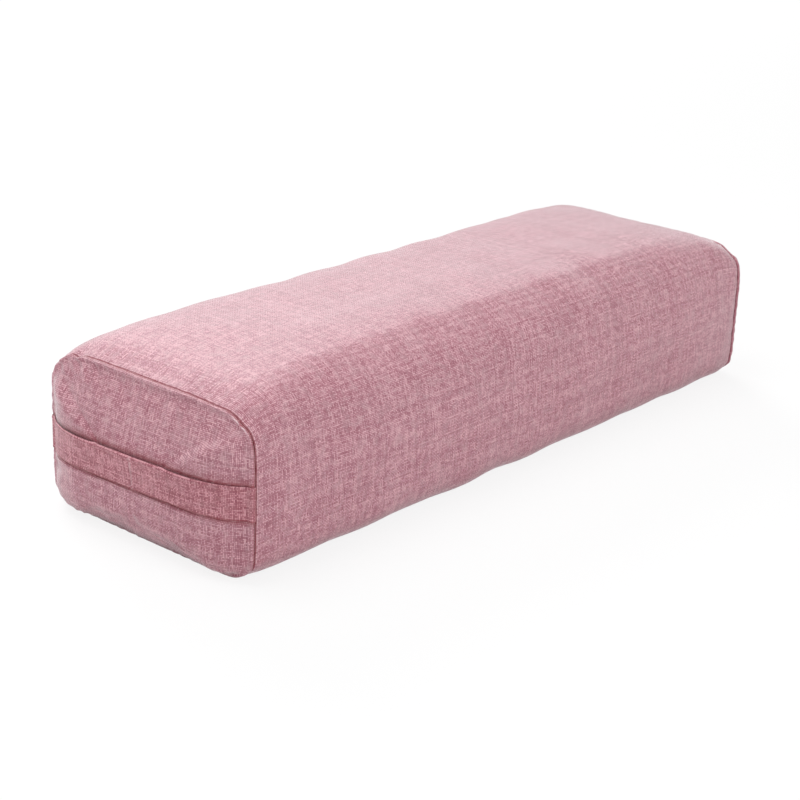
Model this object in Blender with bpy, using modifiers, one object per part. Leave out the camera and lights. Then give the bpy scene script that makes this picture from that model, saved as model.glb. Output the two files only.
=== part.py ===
"""Rectangular yoga bolster, cut from 65 x 25 x 15 cm, with a removable cloth cover.

A firm foam block is wrapped in wadding and held in a thin inner case. Over that goes the cover: one
sheet round the top, the long sides and the underside, and a bulging panel sewn into each end. A flat
carry strap crosses the near end, and a zip with moulded teeth closes a slot in the hidden long side.

Metres. X runs along the bolster and the strap is at -X. Y runs across it and the zip is at +Y.
Z is up, and the origin is the middle of the underside.
"""

import math

import bmesh
import bpy
import numpy as np
from mathutils import Matrix

# Filled form of the cover, seam to seam
seam_length = 0.650
mid_width = 0.2334
end_width = 0.2229
mid_height = 0.1485
end_height = 0.1304
widest_height = 0.0500
base_flat = 0.0005
swell_exponent = 8
mid_top_exponent = 3.92
end_top_exponent = 7.2
underside_exponent = 7.4

# End panels, which bulge past their seams
panel_bulge = 0.020
panel_exponent = 6
panel_turn = 0.0015
seam_allowance = 0.010

# Cloths and filling
cover_cloth = 0.0009
inner_cloth = 0.0008
wadding_thickness = 0.005
wadding_least = 0.001
core_setback = 0.010

# Clearances
touch_gap = 0.0003
layer_gap = 0.0005

# Points round the girth and rings of an end panel, from its middle to its seam
girth_count = 36
ring_shares = (0.45, 0.70, 0.85, 0.94)
fade_share = 0.51
end_station_share = 0.856

# Carry strap, a folded band
strap_width = 0.0275
strap_thickness = 0.0020
strap_end_thickness = 0.0010
strap_stand = 0.0006
strap_front_height = 0.0645
strap_back_height = 0.0580
strap_reach_share = 0.995
strap_edge_share = 0.35
strap_spans = 20

# Zip: place, teeth and tapes
zip_height = 0.0345
chain_length = 0.440
tooth_pitch = 0.0034
tooth_head = 0.00165
tooth_reach = 0.0008
tooth_gap = 0.0003
bead_width = 0.0014
chain_half = 0.0030
chain_thickness = 0.0024
tape_width = 0.0102
tape_thickness = 0.0006
tape_tail = 0.010
stop_length = 0.0024
stop_jaw = 0.0010
stop_proud = 0.0005
stop_bevel = 0.0003

# Zip slider, from its wide mouth to its throat
shoulder_spread = 0.0021
shoulder_length = 0.002
spread_length = 0.006
throat_length = 0.006
slider_clearance = 0.00025
plate_thickness = 0.0010
flange_width = 0.0008
post_tip_half = 0.00015
post_setback = 0.0005
outline_steps = 8

# Bridge of the slider and the pull in it
bridge_length = 0.0086
bridge_width = 0.0024
bridge_bar = 0.0010
bridge_opening_length = 0.0054
bridge_opening_height = 0.0019
bridge_steps = 8
joint_overlap = 0.0003
pull_thickness = 0.0012
pull_width = 0.0072
pull_tip_width = 0.0056
pull_length = 0.026
pull_bar = 0.0012
pull_window_length = 0.0046
pull_hole_length = 0.008
pull_hole_width = 0.0020
hole_corner_share = 0.45
arc_steps = 6

# Slot in the cover and the room behind it
slot_margin = 0.0006
slot_end_margin = 0.0015
slot_corner = 0.0015
slot_cut = 0.008
room_margin = 0.006
room_side = 0.001
room_fade_height = 0.008

overrun = 0.002
weld_distance = 0.000001

seam_half = seam_length / 2
chain_end = chain_length / 2
slider_length = shoulder_length + spread_length + throat_length
tape_end = chain_end + tape_tail
room_half = tape_end + room_margin
core_half = seam_half - core_setback
bead_inner = chain_half - bead_width
tape_inner = chain_half + touch_gap
tape_reach = tape_inner + tape_width
channel_half = chain_thickness / 2 + slider_clearance
plate_outer = channel_half + plate_thickness
slider_half_width = chain_half + shoulder_spread + slider_clearance + flange_width
slot_half_height = slider_half_width + slot_margin
slot_half_length = chain_end + touch_gap + stop_length + slot_end_margin

# How deep each layer lies below the cover's outer face, along the sides and at the end seams
skirt_depth = cover_cloth + layer_gap
case_depth = cover_cloth + layer_gap
case_end_depth = skirt_depth + cover_cloth + layer_gap
wadding_step = inner_cloth + layer_gap
core_depth = case_depth + wadding_step + wadding_thickness + layer_gap

parts_name = "rectangular_yoga_bolster"


def clear_scene():
    """Empties the scene and makes the two collections, one for the parts and one for the cutters."""
    for old in list(bpy.data.objects):
        bpy.data.objects.remove(old, do_unlink=True)
    for name in (parts_name, "cutters"):
        collection = bpy.data.collections.new(name)
        bpy.context.scene.collection.children.link(collection)


def material(name, colour, roughness, metallic=0.0):
    """A Principled material of one linear colour."""
    made = bpy.data.materials.new(name)
    made.use_nodes = True
    shader = made.node_tree.nodes["Principled BSDF"]
    shader.inputs["Base Color"].default_value = (*colour, 1.0)
    shader.inputs["Roughness"].default_value = roughness
    shader.inputs["Metallic"].default_value = metallic
    return made


def add(name, mesh, made_of=None, location=(0, 0, 0), parent=None):
    """Puts a mesh into the parts, or among the cutters where it has no material."""
    piece = bpy.data.objects.new(name, mesh)
    piece.location = location
    piece.parent = parent
    if made_of is None:
        piece.hide_render = True
        piece.display_type = "WIRE"
        bpy.data.collections["cutters"].objects.link(piece)
    else:
        mesh.materials.append(made_of)
        bpy.data.collections[parts_name].objects.link(piece)
    return piece


def boolean(piece, operation, other):
    """A Boolean modifier on a piece."""
    cut = piece.modifiers.new(other.name, "BOOLEAN")
    cut.operation = operation
    cut.object = other


def face_outwards(mesh):
    """Welds the doubles and turns every face outwards."""
    work = bmesh.new()
    work.from_mesh(mesh)
    bmesh.ops.remove_doubles(work, verts=work.verts, dist=weld_distance)
    bmesh.ops.recalc_face_normals(work, faces=work.faces)
    work.to_mesh(mesh)
    work.free()
    return mesh


def loft(name, rings, closed=False, poles=False):
    """A skin over rings of equal count, joined end to start if closed, or run to a pole at each end.

    Each face is split from the ring at the lower X, so that skins on the same stations stay parallel.
    """
    count = len(rings[0])
    points = np.concatenate(rings)
    here = np.arange(count)
    beyond = np.roll(here, -1)
    starts = [k * count for k in range(len(rings))]
    pairs = list(zip(starts, starts[1:] + starts[:1])) if closed else list(zip(starts, starts[1:]))
    faces = []
    for pair in pairs:
        a, b = sorted(pair, key=lambda start: points[start, 0])
        faces += np.stack([here + a, beyond + a, beyond + b], axis=1).tolist()
        faces += np.stack([here + a, beyond + b, here + b], axis=1).tolist()
    if poles:
        points = np.concatenate([points, [rings[0].mean(axis=0), rings[-1].mean(axis=0)]])
        for start, pole in ((starts[0], len(points) - 2), (starts[-1], len(points) - 1)):
            faces += [[start + i, start + j, pole] for i, j in zip(here, beyond)]
    mesh = bpy.data.meshes.new(name)
    mesh.from_pydata(points.tolist(), [], faces)
    return face_outwards(mesh)


def flat_mesh(name, outlines, thickness):
    """A flat outline, with any holes, as a filled 2D curve given its thickness and made a mesh."""
    curve = bpy.data.curves.new(name, "CURVE")
    curve.dimensions = "2D"
    curve.fill_mode = "BOTH"
    curve.extrude = thickness / 2
    for outline in outlines:
        spline = curve.splines.new("POLY")
        spline.points.add(len(outline) - 1)
        for point, (u, w) in zip(spline.points, outline):
            point.co = (u, w, 0, 1)
        spline.use_cyclic_u = True
    drawn = bpy.data.objects.new(name, curve)
    bpy.context.scene.collection.objects.link(drawn)
    seen = drawn.evaluated_get(bpy.context.evaluated_depsgraph_get())
    mesh = bpy.data.meshes.new_from_object(seen)
    bpy.data.objects.remove(drawn, do_unlink=True)
    return face_outwards(mesh)


def box_mesh(name, low, high):
    """A box between two corners."""
    work = bmesh.new()
    bmesh.ops.create_cube(work, size=1)
    size = np.subtract(high, low)
    middle = np.add(high, low) / 2
    for vertex in work.verts:
        vertex.co = [m + s * c for m, s, c in zip(middle, size, vertex.co)]
    mesh = bpy.data.meshes.new(name)
    work.to_mesh(mesh)
    work.free()
    return mesh


def section_sizes(x):
    """Half width, rise above and drop below the widest height, and top exponent at a station."""
    full = 1 - abs(x / seam_half) ** swell_exponent
    half_width = (end_width + (mid_width - end_width) * full) / 2
    rise = end_height + (mid_height - end_height) * full - widest_height
    top_exponent = end_top_exponent + (mid_top_exponent - end_top_exponent) * full
    return half_width, rise, widest_height + base_flat, top_exponent


def side_reach(x, height):
    """How far the cover's long side stands from the middle plane at a height."""
    half_width, rise, drop, top_exponent = section_sizes(x)
    if height < widest_height:
        share, exponent = (widest_height - height) / drop, underside_exponent
    else:
        share, exponent = (height - widest_height) / rise, top_exponent
    return half_width * (1 - share**exponent) ** (1 / exponent)


# The zip leans as the cover's side does between its tapes' outer edges, at the end of its room.
# Its planes are counted from the cover's inner face there, at the zip's own height.
low_reach = side_reach(room_half, zip_height - tape_reach)
high_reach = side_reach(room_half, zip_height + tape_reach)
zip_lean = (high_reach - low_reach) / (2 * tape_reach)
tape_outer_y = (low_reach + high_reach) / 2 - cover_cloth - touch_gap
chain_y = tape_outer_y - tape_thickness / 2
tape_room_y = tape_outer_y - tape_thickness - touch_gap
slider_room_y = chain_y - plate_outer - touch_gap


def turn_at_height(height):
    """The turn round the middle section at which its hidden side has a height."""
    _, rise, drop, top_exponent = section_sizes(0)
    if height < widest_height:
        return -math.asin(((widest_height - height) / drop) ** (underside_exponent / 2))
    return math.asin(((height - widest_height) / rise) ** (top_exponent / 2))


def room_profile():
    """Heights of the room behind the zip, and how far from the middle plane it may reach at each."""
    deep = slider_half_width + room_side
    wide = tape_reach + touch_gap
    above = [-wide - room_fade_height, -wide, -deep, deep, wide, wide + room_fade_height]
    planes = [mid_width / 2, tape_room_y, slider_room_y, slider_room_y, tape_room_y, mid_width / 2]
    return [zip_height + h for h in above], [y + zip_lean * h for y, h in zip(planes, above)]


def girth_turns():
    """Turns round the section: evenly spaced ones, and those at the edges of the zip's room."""
    even = np.arange(girth_count) * 2 * np.pi / girth_count - np.pi
    heights, _ = room_profile()
    edges = [turn_at_height(h) for h in (heights[1], heights[2], heights[3], heights[5])]
    return np.sort(np.concatenate([even, edges]))


def skin_ring(x, depth):
    """Points round the section at a station, a depth inside the cover's outer face.

    Two half superellipses meet at the widest height. The lower one runs base_flat below the floor
    and is pressed flat on it. Between the last station and the end seam the cloth runs straight.
    """
    if end_station() < abs(x) < seam_half:
        before = skin_ring(math.copysign(end_station(), x), depth)
        seam = skin_ring(math.copysign(seam_half, x), depth)
        return seam + (before - seam) * (seam_half - abs(x)) / (seam_half - end_station())
    half_width, rise, drop, top_exponent = section_sizes(x)
    turns = girth_turns()
    cosine = np.where(np.isclose(np.abs(turns), np.pi / 2), 0, np.cos(turns))
    sine = np.sin(turns)
    exponent = np.where(sine > 0, top_exponent, underside_exponent)
    height = np.where(sine > 0, rise, drop)
    across = np.sign(cosine) * np.abs(cosine) ** (2 / exponent)
    up = np.sign(sine) * np.abs(sine) ** (2 / exponent)
    lean_y = np.sign(across) * np.abs(across) ** (exponent - 1) / half_width
    lean_z = np.sign(up) * np.abs(up) ** (exponent - 1) / height
    lean = np.hypot(lean_y, lean_z)
    y = half_width * across - depth * lean_y / lean
    z = widest_height + height * up - depth * lean_z / lean
    return np.stack([np.full_like(y, x), y, np.maximum(z, depth)], axis=1)


def draw_in(ring, x, step):
    """Draws a ring in behind the zip, so that it keeps a step's distance from the zip's room."""
    heights, limits = room_profile()
    fade = np.interp(abs(x), [room_half, fade_station()], [1, 0])
    over = ring[:, 1] - (np.interp(ring[:, 2], heights, limits) - step)
    ring[:, 1] -= fade * np.maximum(over, 0)
    return ring


def inner_ring(x, step):
    """A ring of the inner case's outer face, or a step inside it, drawn in behind the zip."""
    ends = np.interp(abs(x), [fade_station(), end_station()], [case_depth, case_end_depth])
    return draw_in(skin_ring(x, ends + step), x, step)


def core_ring(x, step):
    """A ring of the foam block, or a step outside it, which leaves the wadding room behind the zip."""
    room_step = wadding_step + wadding_least + layer_gap - step
    return draw_in(skin_ring(x, core_depth - step), x, room_step)


def fade_station():
    """The station at which the room behind the zip has faded out."""
    return room_half + (core_half - room_half) * fade_share


def end_station():
    """The last station before the end of the filling, from which the cover runs straight to its seam."""
    return room_half + (core_half - room_half) * end_station_share


def stations(last):
    """Stations along the bolster, closer together towards the ends, out to the last one."""
    half = [room_half / 2, room_half, fade_station(), end_station(), last]
    return [-x for x in reversed(half)] + half


def dome(side, loop_ring, start, bulge):
    """Rings of an end's bulge, from its seam to near its middle, on an even scaling of the loop."""
    rings = []
    middle = np.array([0, widest_height])
    for share in (1, *reversed(ring_shares)):
        ring = loop_ring.copy()
        ring[:, 0] = side * (start + bulge * (1 - share**panel_exponent))
        ring[:, 1:] = middle + share * (loop_ring[:, 1:] - middle)
        rings.append(ring)
    return rings


def at_station(ring, x):
    """The same ring moved to another station."""
    moved = ring.copy()
    moved[:, 0] = x
    return moved


def wrap(name, outer, inner, made_of):
    """A tube of cloth, open at both ends, between the rings of its outer and of its inner face."""
    return add(name, loft(name, outer + inner[::-1], closed=True), made_of)


def make_foam_core(foam):
    """The foam block, drawn in a little towards its flat ends."""
    rings = [core_ring(x, 0) for x in stations(core_half)]
    add("foam_core", loft("foam_core", rings, poles=True), foam)


def make_wadding(wadding):
    """Wadding round the block, thinner behind the zip, and a pad that fills each end's bulge."""
    places = stations(core_half)
    outer = [inner_ring(x, wadding_step) for x in places]
    inner = [core_ring(x, layer_gap) for x in places]
    add("wadding_wrap", loft("wadding_wrap", outer + inner[::-1], closed=True), wadding)
    bulge = panel_bulge - cover_cloth - inner_cloth - 2 * layer_gap
    for name, side in (("wadding_end_near", -1), ("wadding_end_far", 1)):
        loop_ring = inner_ring(side * seam_half, wadding_step)
        back = at_station(loop_ring, side * (core_half + layer_gap))
        rings = [back] + dome(side, loop_ring, seam_half, bulge)
        add(name, loft(name, rings, poles=True), wadding)


def make_inner_case(cloth):
    """The thin case round the filling: a tube and two domed ends."""
    places = stations(seam_half)
    outer = [inner_ring(x, 0) for x in places]
    inner = [inner_ring(x, inner_cloth) for x in places]
    wrap("inner_case_wrap", outer, inner, cloth)
    bulge = panel_bulge - cover_cloth - layer_gap
    start = seam_half + layer_gap
    for name, side in (("inner_case_end_near", -1), ("inner_case_end_far", 1)):
        outer = dome(side, inner_ring(side * seam_half, 0), start, bulge)
        inner = dome(side, inner_ring(side * seam_half, inner_cloth), start, bulge - inner_cloth)
        add(name, loft(name, outer[::-1] + inner, poles=True), cloth)


def make_cover(cloth):
    """The cover's wrap with the slot for the zip, and its two bulging end panels."""
    places = stations(seam_half)
    outer = [skin_ring(x, 0) for x in places]
    inner = [skin_ring(x, cover_cloth) for x in places]
    piece = wrap("cover_wrap", outer, inner, cloth)
    cutter = add("zip_slot_cutter", flat_mesh("zip_slot_cutter", [slot_outline()], slot_cut))
    cutter.parent = bpy.data.objects["zip_frame"]
    boolean(piece, "DIFFERENCE", cutter)
    for name, side in (("cover_end_near", -1), ("cover_end_far", 1)):
        make_end_panel(name, side, cloth)


def make_end_panel(name, side, cloth):
    """A bulging panel whose allowance turns back inside the wrap."""
    start = seam_half + touch_gap
    outer = dome(side, skin_ring(side * seam_half, 0), start, panel_bulge)
    lip = skin_ring(side * seam_half, skirt_depth)
    hem = skin_ring(side * seam_half, skirt_depth + cover_cloth)
    skirt_end = seam_half - seam_allowance
    rings = outer[::-1] + [at_station(lip, side * start)]
    rings += [skin_ring(side * skirt_end, skirt_depth)]
    rings += [skin_ring(side * skirt_end, skirt_depth + cover_cloth)]
    rings += dome(side, hem, start + panel_turn, panel_bulge - cover_cloth - panel_turn)
    add(name, loft(name, rings, poles=True), cloth)


def make_strap(cloth):
    """The carry strap: a folded band that follows the near panel's bulge from seam to seam."""
    half_width, rise, _, exponent = section_sizes(seam_half)
    along = np.linspace(-np.pi / 2, np.pi / 2, strap_spans + 1)
    share = strap_reach_share * np.sin(along)
    y = half_width * share
    z = (strap_front_height + strap_back_height) / 2
    z = z + (strap_back_height - strap_front_height) / 2 * share
    lift = np.abs(share) ** exponent + np.abs((z - widest_height) / rise) ** exponent
    x = -(seam_half + touch_gap + panel_bulge * (1 - lift ** (panel_exponent / exponent)))
    slope = panel_exponent * panel_bulge / half_width * share ** (panel_exponent - 1)
    normal = np.stack([-np.ones_like(slope), slope]) / np.hypot(1, slope)
    thick = strap_end_thickness + (strap_thickness - strap_end_thickness) * np.cos(along) ** 0.5
    middle = np.array([x[strap_spans // 2], 0, z[strap_spans // 2]])
    rings = []
    for k in range(strap_spans + 1):
        out, up = strap_edge(thick[k])
        stand = strap_stand + thick[k] / 2 + out
        ring = np.stack([x[k] + stand * normal[0, k], y[k] + stand * normal[1, k], z[k] + up], axis=1)
        rings.append(ring - middle)
    add("handle_strap", loft("handle_strap", rings, poles=True), cloth, location=middle)


def strap_edge(thickness):
    """The strap's cross-section: how far each point stands out and how high, round its edge."""
    corner = thickness * strap_edge_share
    half, wide = thickness / 2, strap_width / 2
    quarter = [(half - corner, wide), (half, wide - corner)]
    right = quarter + [(a, -b) for a, b in reversed(quarter)]
    points = right + [(-a, b) for a, b in reversed(right)]
    return np.array(points).T


def spread(u):
    """How far each tooth row is led from the chain's middle by the slider, which rests closed."""
    into = (chain_end - shoulder_length - np.asarray(u, float)) / spread_length
    return shoulder_spread * (1 + np.cos(np.pi * np.clip(into, 0, 1))) / 2


def spread_stations(front, back):
    """Places along the zip that follow the spread, from the closed end back."""
    into = np.linspace(0, 1, outline_steps)
    bend = chain_end - shoulder_length - spread_length * into
    return np.concatenate([[front], bend, [back]])


def two_sided(u, w):
    """An outline that is the same on both sides of the chain's middle."""
    return list(zip(u, w)) + list(zip(u[::-1], -w[::-1]))


def tooth_row_outline(side):
    """A row's outline: a bead with flared teeth, which leave the middle where the slider leads them.

    The other row is half a pitch along. The neck is as wide as leaves tooth_gap on both flanks.
    """
    flank_share = bead_inner / (bead_inner + tooth_reach)
    neck = (tooth_pitch / 2 - tooth_gap - tooth_head * flank_share) / (1 - flank_share)
    count = int((chain_length - tooth_pitch) / tooth_pitch)
    first = -chain_end + tooth_pitch / 2 + (tooth_pitch / 2 if side < 0 else 0)
    u, w = [-chain_end], [bead_inner]
    for k in range(count):
        middle = first + k * tooth_pitch
        u += [middle - neck / 2, middle - tooth_head / 2, middle + tooth_head / 2, middle + neck / 2]
        w += [bead_inner, -tooth_reach, -tooth_reach, bead_inner]
    back = spread_stations(chain_end, -chain_end)
    u = np.array(u + [chain_end] + list(back))
    w = np.array(w + [bead_inner] + [chain_half] * len(back))
    return list(zip(u, side * (w + spread(u))))


def tape_outline(side):
    """A tape's outline: its inner edge follows the teeth, its outer edge is straight."""
    u = spread_stations(tape_end, -tape_end)
    inner = list(zip(u, side * (tape_inner + spread(u))))
    return inner + [(-tape_end, side * tape_reach), (tape_end, side * tape_reach)]


def slot_outline():
    """The slot in the cover: a long rectangle with small round corners."""
    return rounded_box(-slot_half_length, slot_half_length, slot_half_height, slot_corner)


def rounded_box(low, high, half_height, corner):
    """A rectangle about the chain's middle line with round corners."""
    turn = np.linspace(0, np.pi / 2, arc_steps)
    points = []
    for quarter, (u, w) in enumerate(
        ((high - corner, half_height - corner), (low + corner, half_height - corner),
         (low + corner, corner - half_height), (high - corner, corner - half_height))
    ):
        angle = turn + quarter * np.pi / 2
        points += list(zip(u + corner * np.cos(angle), w + corner * np.sin(angle)))
    return points


def make_zip_rows(tape, teeth):
    """The two tapes and the two rows of teeth, in mesh behind the slider and parted inside it."""
    frame = bpy.data.objects["zip_frame"]
    for name, side in (("upper", 1), ("lower", -1)):
        band = flat_mesh("zip_tape_" + name, [tape_outline(side)], tape_thickness)
        add("zip_tape_" + name, band, tape, parent=frame)
        row = flat_mesh("zip_teeth_" + name, [tooth_row_outline(side)], chain_thickness)
        add("zip_teeth_" + name, row, teeth, parent=frame)


def make_stop(name, u_low, w_low, w_high, gripped, made_of):
    """A stop that grips the edge of one tape or both: a bevelled block with a slot for each."""
    frame = bpy.data.objects["zip_frame"]
    half = channel_half + stop_proud
    u_high = u_low + stop_length
    block = box_mesh(name, (u_low, w_low, -half), (u_high, w_high, half))
    piece = add(name, block, made_of, parent=frame)
    bevel = piece.modifiers.new("edges", "BEVEL")
    bevel.width = stop_bevel
    grip = tape_thickness / 2 + touch_gap
    for w in gripped:
        bottom = w - math.copysign(stop_jaw + touch_gap, w)
        mouth = w + math.copysign(overrun, w)
        low = (u_low - overrun, min(bottom, mouth), -grip)
        high = (u_high + overrun, max(bottom, mouth), grip)
        side_name = name + ("_above" if w > 0 else "_below") + "_cutter"
        cutter = add(side_name, box_mesh(side_name, low, high), parent=frame)
        boolean(piece, "DIFFERENCE", cutter)


def make_stops(teeth):
    """One stop on each tape at the closed end, and one across both at the open end."""
    near = chain_end + touch_gap
    inner = bead_inner + shoulder_spread
    reach = tape_inner + stop_jaw
    outer = reach + shoulder_spread
    make_stop("zip_top_stop_upper", near, inner, outer, [outer], teeth)
    make_stop("zip_top_stop_lower", near, -outer, -inner, [-outer], teeth)
    make_stop("zip_bottom_stop", -near - stop_length, -reach, reach, [reach, -reach], teeth)


def slider_outline(inset):
    """The slider's plan, a distance inside its outer edge, which keeps a flange beside the teeth."""
    run = overrun if inset else 0
    u = spread_stations(chain_end + run, chain_end - slider_length - run)
    half = chain_half + slider_clearance + flange_width - inset + spread(u)
    return two_sided(u, half)


def post_outline():
    """The post that parts the rows: it fills what they leave between them, less the clearance."""
    tip_spread = tooth_reach + slider_clearance + post_tip_half
    into = math.acos(2 * tip_spread / shoulder_spread - 1) / math.pi
    tip = chain_end - shoulder_length - spread_length * into
    u = np.linspace(chain_end - post_setback, tip, outline_steps)
    return two_sided(u, spread(u) - tooth_reach - slider_clearance)


def bridge_outline():
    """The bridge from the side: an arch over the opening that the pull's bar turns in."""
    top = plate_outer + bridge_opening_height + bridge_bar
    foot = plate_outer - joint_overlap
    corner = (bridge_length - bridge_opening_length) / 2
    turn = np.linspace(0, np.pi / 2, bridge_steps)
    u = bridge_length / 2 - corner * (1 - np.cos(turn))
    v = top - corner * (1 - np.sin(turn))
    arch = list(zip(u, v)) + list(zip(-u[::-1], v[::-1]))
    half, under = bridge_opening_length / 2, plate_outer + bridge_opening_height
    opening = [(-half, foot), (-half, under), (half, under), (half, foot)]
    return [(bridge_length / 2, foot)] + arch + [(-bridge_length / 2, foot)] + opening


def make_slider(metal):
    """The slider: a block hollowed for the teeth and the tapes, with its post and its bridge."""
    frame = bpy.data.objects["zip_frame"]
    body = flat_mesh("zip_slider", [slider_outline(0)], 2 * plate_outer)
    home = slider_home()
    body.transform(Matrix.Translation(home).inverted())
    piece = add("zip_slider", body, metal, location=home, parent=frame)
    channel = flat_mesh("zip_channel_cutter", [slider_outline(flange_width)], 2 * channel_half)
    boolean(piece, "DIFFERENCE", add("zip_channel_cutter", channel, parent=frame))
    grip = tape_thickness / 2 + slider_clearance
    low = (chain_end - slider_length - overrun, -slider_half_width - overrun, -grip)
    high = (chain_end + overrun, slider_half_width + overrun, grip)
    gap = box_mesh("zip_tape_gap_cutter", low, high)
    boolean(piece, "DIFFERENCE", add("zip_tape_gap_cutter", gap, parent=frame))
    post = flat_mesh("zip_post", [post_outline()], 2 * (channel_half + joint_overlap))
    boolean(piece, "UNION", add("zip_post", post, parent=frame))
    arch = flat_mesh("zip_bridge", [bridge_outline()], bridge_width)
    bridge = add("zip_bridge", arch, location=home, parent=frame)
    bridge.rotation_euler = (math.pi / 2, 0, 0)
    boolean(piece, "UNION", bridge)


def slider_home():
    """The middle of the slider along the chain, where its bridge stands."""
    return (chain_end - slider_length / 2, 0, 0)


def make_pull(metal):
    """The pull: a bar in the bridge, two arms round it and a flat tab with a long hole."""
    half, tip = pull_width / 2, pull_tip_width / 2
    bar = pull_bar / 2
    turn = np.linspace(np.pi / 2, -np.pi / 2, 2 * arc_steps)
    end = pull_length - tip
    round_end = list(zip(-end - tip * np.cos(turn), tip * np.sin(turn)))
    tab = [(bar, -half), (bar, half), (-bar - pull_window_length, half)] + round_end
    tab += [(-bar - pull_window_length, -half)]
    arm = bridge_width / 2 + touch_gap
    window = [(-bar, -arm), (-bar, arm), (-bar - pull_window_length, arm), (-bar - pull_window_length, -arm)]
    hole_end = pull_hole_width - pull_length
    hole_corner = pull_hole_width * hole_corner_share
    hole = rounded_box(hole_end, hole_end + pull_hole_length, pull_hole_width / 2, hole_corner)
    mesh = flat_mesh("zip_pull", [tab, window, hole], pull_thickness)
    home = slider_home()
    axis_height = plate_outer + touch_gap + pull_thickness / 2
    frame = bpy.data.objects["zip_frame"]
    add("zip_pull", mesh, metal, location=(home[0], home[1], axis_height), parent=frame)


def make_zip_frame():
    """An empty in the chain's middle: its X runs to the closed end, its Y up and its Z outwards."""
    frame = bpy.data.objects.new("zip_frame", None)
    frame.location = (0, chain_y, zip_height)
    frame.rotation_euler = (math.pi / 2 + math.atan(zip_lean), 0, math.pi)
    bpy.data.collections["cutters"].objects.link(frame)


def main():
    clear_scene()
    cloth = material("rose_linen", (0.58, 0.33, 0.38), 0.92)
    strap = material("rose_linen_strap", (0.55, 0.30, 0.35), 0.92)
    case = material("white_case_cloth", (0.80, 0.79, 0.76), 0.90)
    wadding = material("white_wadding", (0.84, 0.83, 0.80), 1.0)
    foam = material("cream_foam", (0.78, 0.70, 0.50), 0.95)
    tape = material("rose_zip_tape", (0.50, 0.27, 0.31), 0.85)
    teeth = material("rose_zip_teeth", (0.52, 0.28, 0.33), 0.40)
    metal = material("nickel_slider", (0.62, 0.60, 0.57), 0.30, 1.0)
    make_zip_frame()
    make_foam_core(foam)
    make_wadding(wadding)
    make_inner_case(case)
    make_cover(cloth)
    make_strap(strap)
    make_zip_rows(tape, teeth)
    make_stops(teeth)
    make_slider(metal)
    make_pull(metal)
    bpy.context.view_layer.update()


main()
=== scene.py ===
import math
from functools import partial

import bpy
import numpy as np
from mathutils import Matrix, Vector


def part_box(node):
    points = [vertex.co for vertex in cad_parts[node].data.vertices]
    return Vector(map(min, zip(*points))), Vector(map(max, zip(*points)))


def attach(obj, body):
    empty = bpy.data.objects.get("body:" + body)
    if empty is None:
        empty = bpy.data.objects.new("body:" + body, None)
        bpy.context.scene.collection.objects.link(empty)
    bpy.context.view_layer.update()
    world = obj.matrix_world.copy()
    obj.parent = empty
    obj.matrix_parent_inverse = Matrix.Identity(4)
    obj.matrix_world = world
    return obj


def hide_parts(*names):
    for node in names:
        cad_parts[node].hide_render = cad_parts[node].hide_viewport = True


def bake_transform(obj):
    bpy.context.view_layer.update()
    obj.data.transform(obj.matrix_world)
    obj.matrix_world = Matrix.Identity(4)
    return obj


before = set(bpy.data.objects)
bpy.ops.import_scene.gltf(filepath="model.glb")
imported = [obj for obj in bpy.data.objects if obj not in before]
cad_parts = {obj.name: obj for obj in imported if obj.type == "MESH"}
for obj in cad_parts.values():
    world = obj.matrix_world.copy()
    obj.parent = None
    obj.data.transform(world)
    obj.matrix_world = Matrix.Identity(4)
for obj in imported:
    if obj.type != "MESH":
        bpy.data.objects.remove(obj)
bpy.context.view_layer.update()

# A rectangular yoga bolster: a foam block in wadding and a thin case, in a cover of rose melange
# cloth with a carry strap across one end and a zip along one long side. Metres.

ends = (("near", -1), ("far", 1))

# Filled form of the cover, seam to seam
seam_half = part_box("cover_wrap")[1].x
mid_width = 2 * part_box("cover_wrap")[1].y
end_width = 2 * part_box("cover_end_near")[1].y
mid_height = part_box("cover_wrap")[1].z
end_height = 0.1304
widest_height = 0.0500
base_flat = 0.0005
swell_exponent = 8
mid_top_exponent = 3.92
end_top_exponent = 7.2
underside_exponent = 7.4
swell_height = 0.0006

# End panels
panel_bulge = 0.0192
panel_exponent = 6
panel_top_exponent = 2.1
panel_start = seam_half + 0.0013
panel_reach = 0.090
panel_floor = 0.0002
panel_slope_share = 0.85
panel_draw_reach = 1.7
end_middle = np.array([0, widest_height])

# Cloths and layers: how deep each lies below the cover's outer face
cover_cloth = 0.0009
case_cloth = 0.0008
wadding_thickness = 0.005
layer_gap = 0.0005
case_depth = cover_cloth + layer_gap
case_end_depth = 0.0048
wadding_depth = case_depth + case_cloth + layer_gap
core_depth = wadding_depth + wadding_thickness + layer_gap
core_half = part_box("foam_core")[1].x
foam_edge = 0.0015
foam_rows = ((0.0, 1.0), (foam_edge, 0.985), (foam_edge, 0.7), (foam_edge, 0.4), (foam_edge, 0.1))
pad_back = (1, 0.75, 0.5, 0.25, 0.06)
case_dome = panel_bulge - cover_cloth - layer_gap - 0.0016
pad_dome = panel_bulge - cover_cloth - case_cloth - 2 * layer_gap - 0.0018

# End seams: the wrap and the panel roll into the seam side by side
wrap_roll = 0.0012
panel_roll = 0.0008
roll_steps = 5
wrap_tuck = 0.0010
panel_tuck = 0.0021
seam_gap = 0.0007
fold_height = 0.0016
fold_place = 0.0022
fold_reach = 0.0019
valley_depth = 0.0011
valley_reach = 0.0022
stitch_length = 0.0032
allowance_rows = [(0.3245, 0.0036), (0.3225, 0.0026), (0.3200, 0.0017), (0.3150, 0.0015)]
rim_steps = np.array([0.0003, 0.0007, 0.0011, 0.0015, 0.0019, 0.0024, 0.0029])
# Painted shade in a rolled rim, row by row from its start into the seam, and at the far end its share on the
# wrap and on a panel
rim_painted_shade = np.array([0.45, 0.60, 0.85, 1.0, 1.0, 1.0, 1.0])
far_wrap_shade = 0.2
far_panel_shade = 0.3

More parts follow.
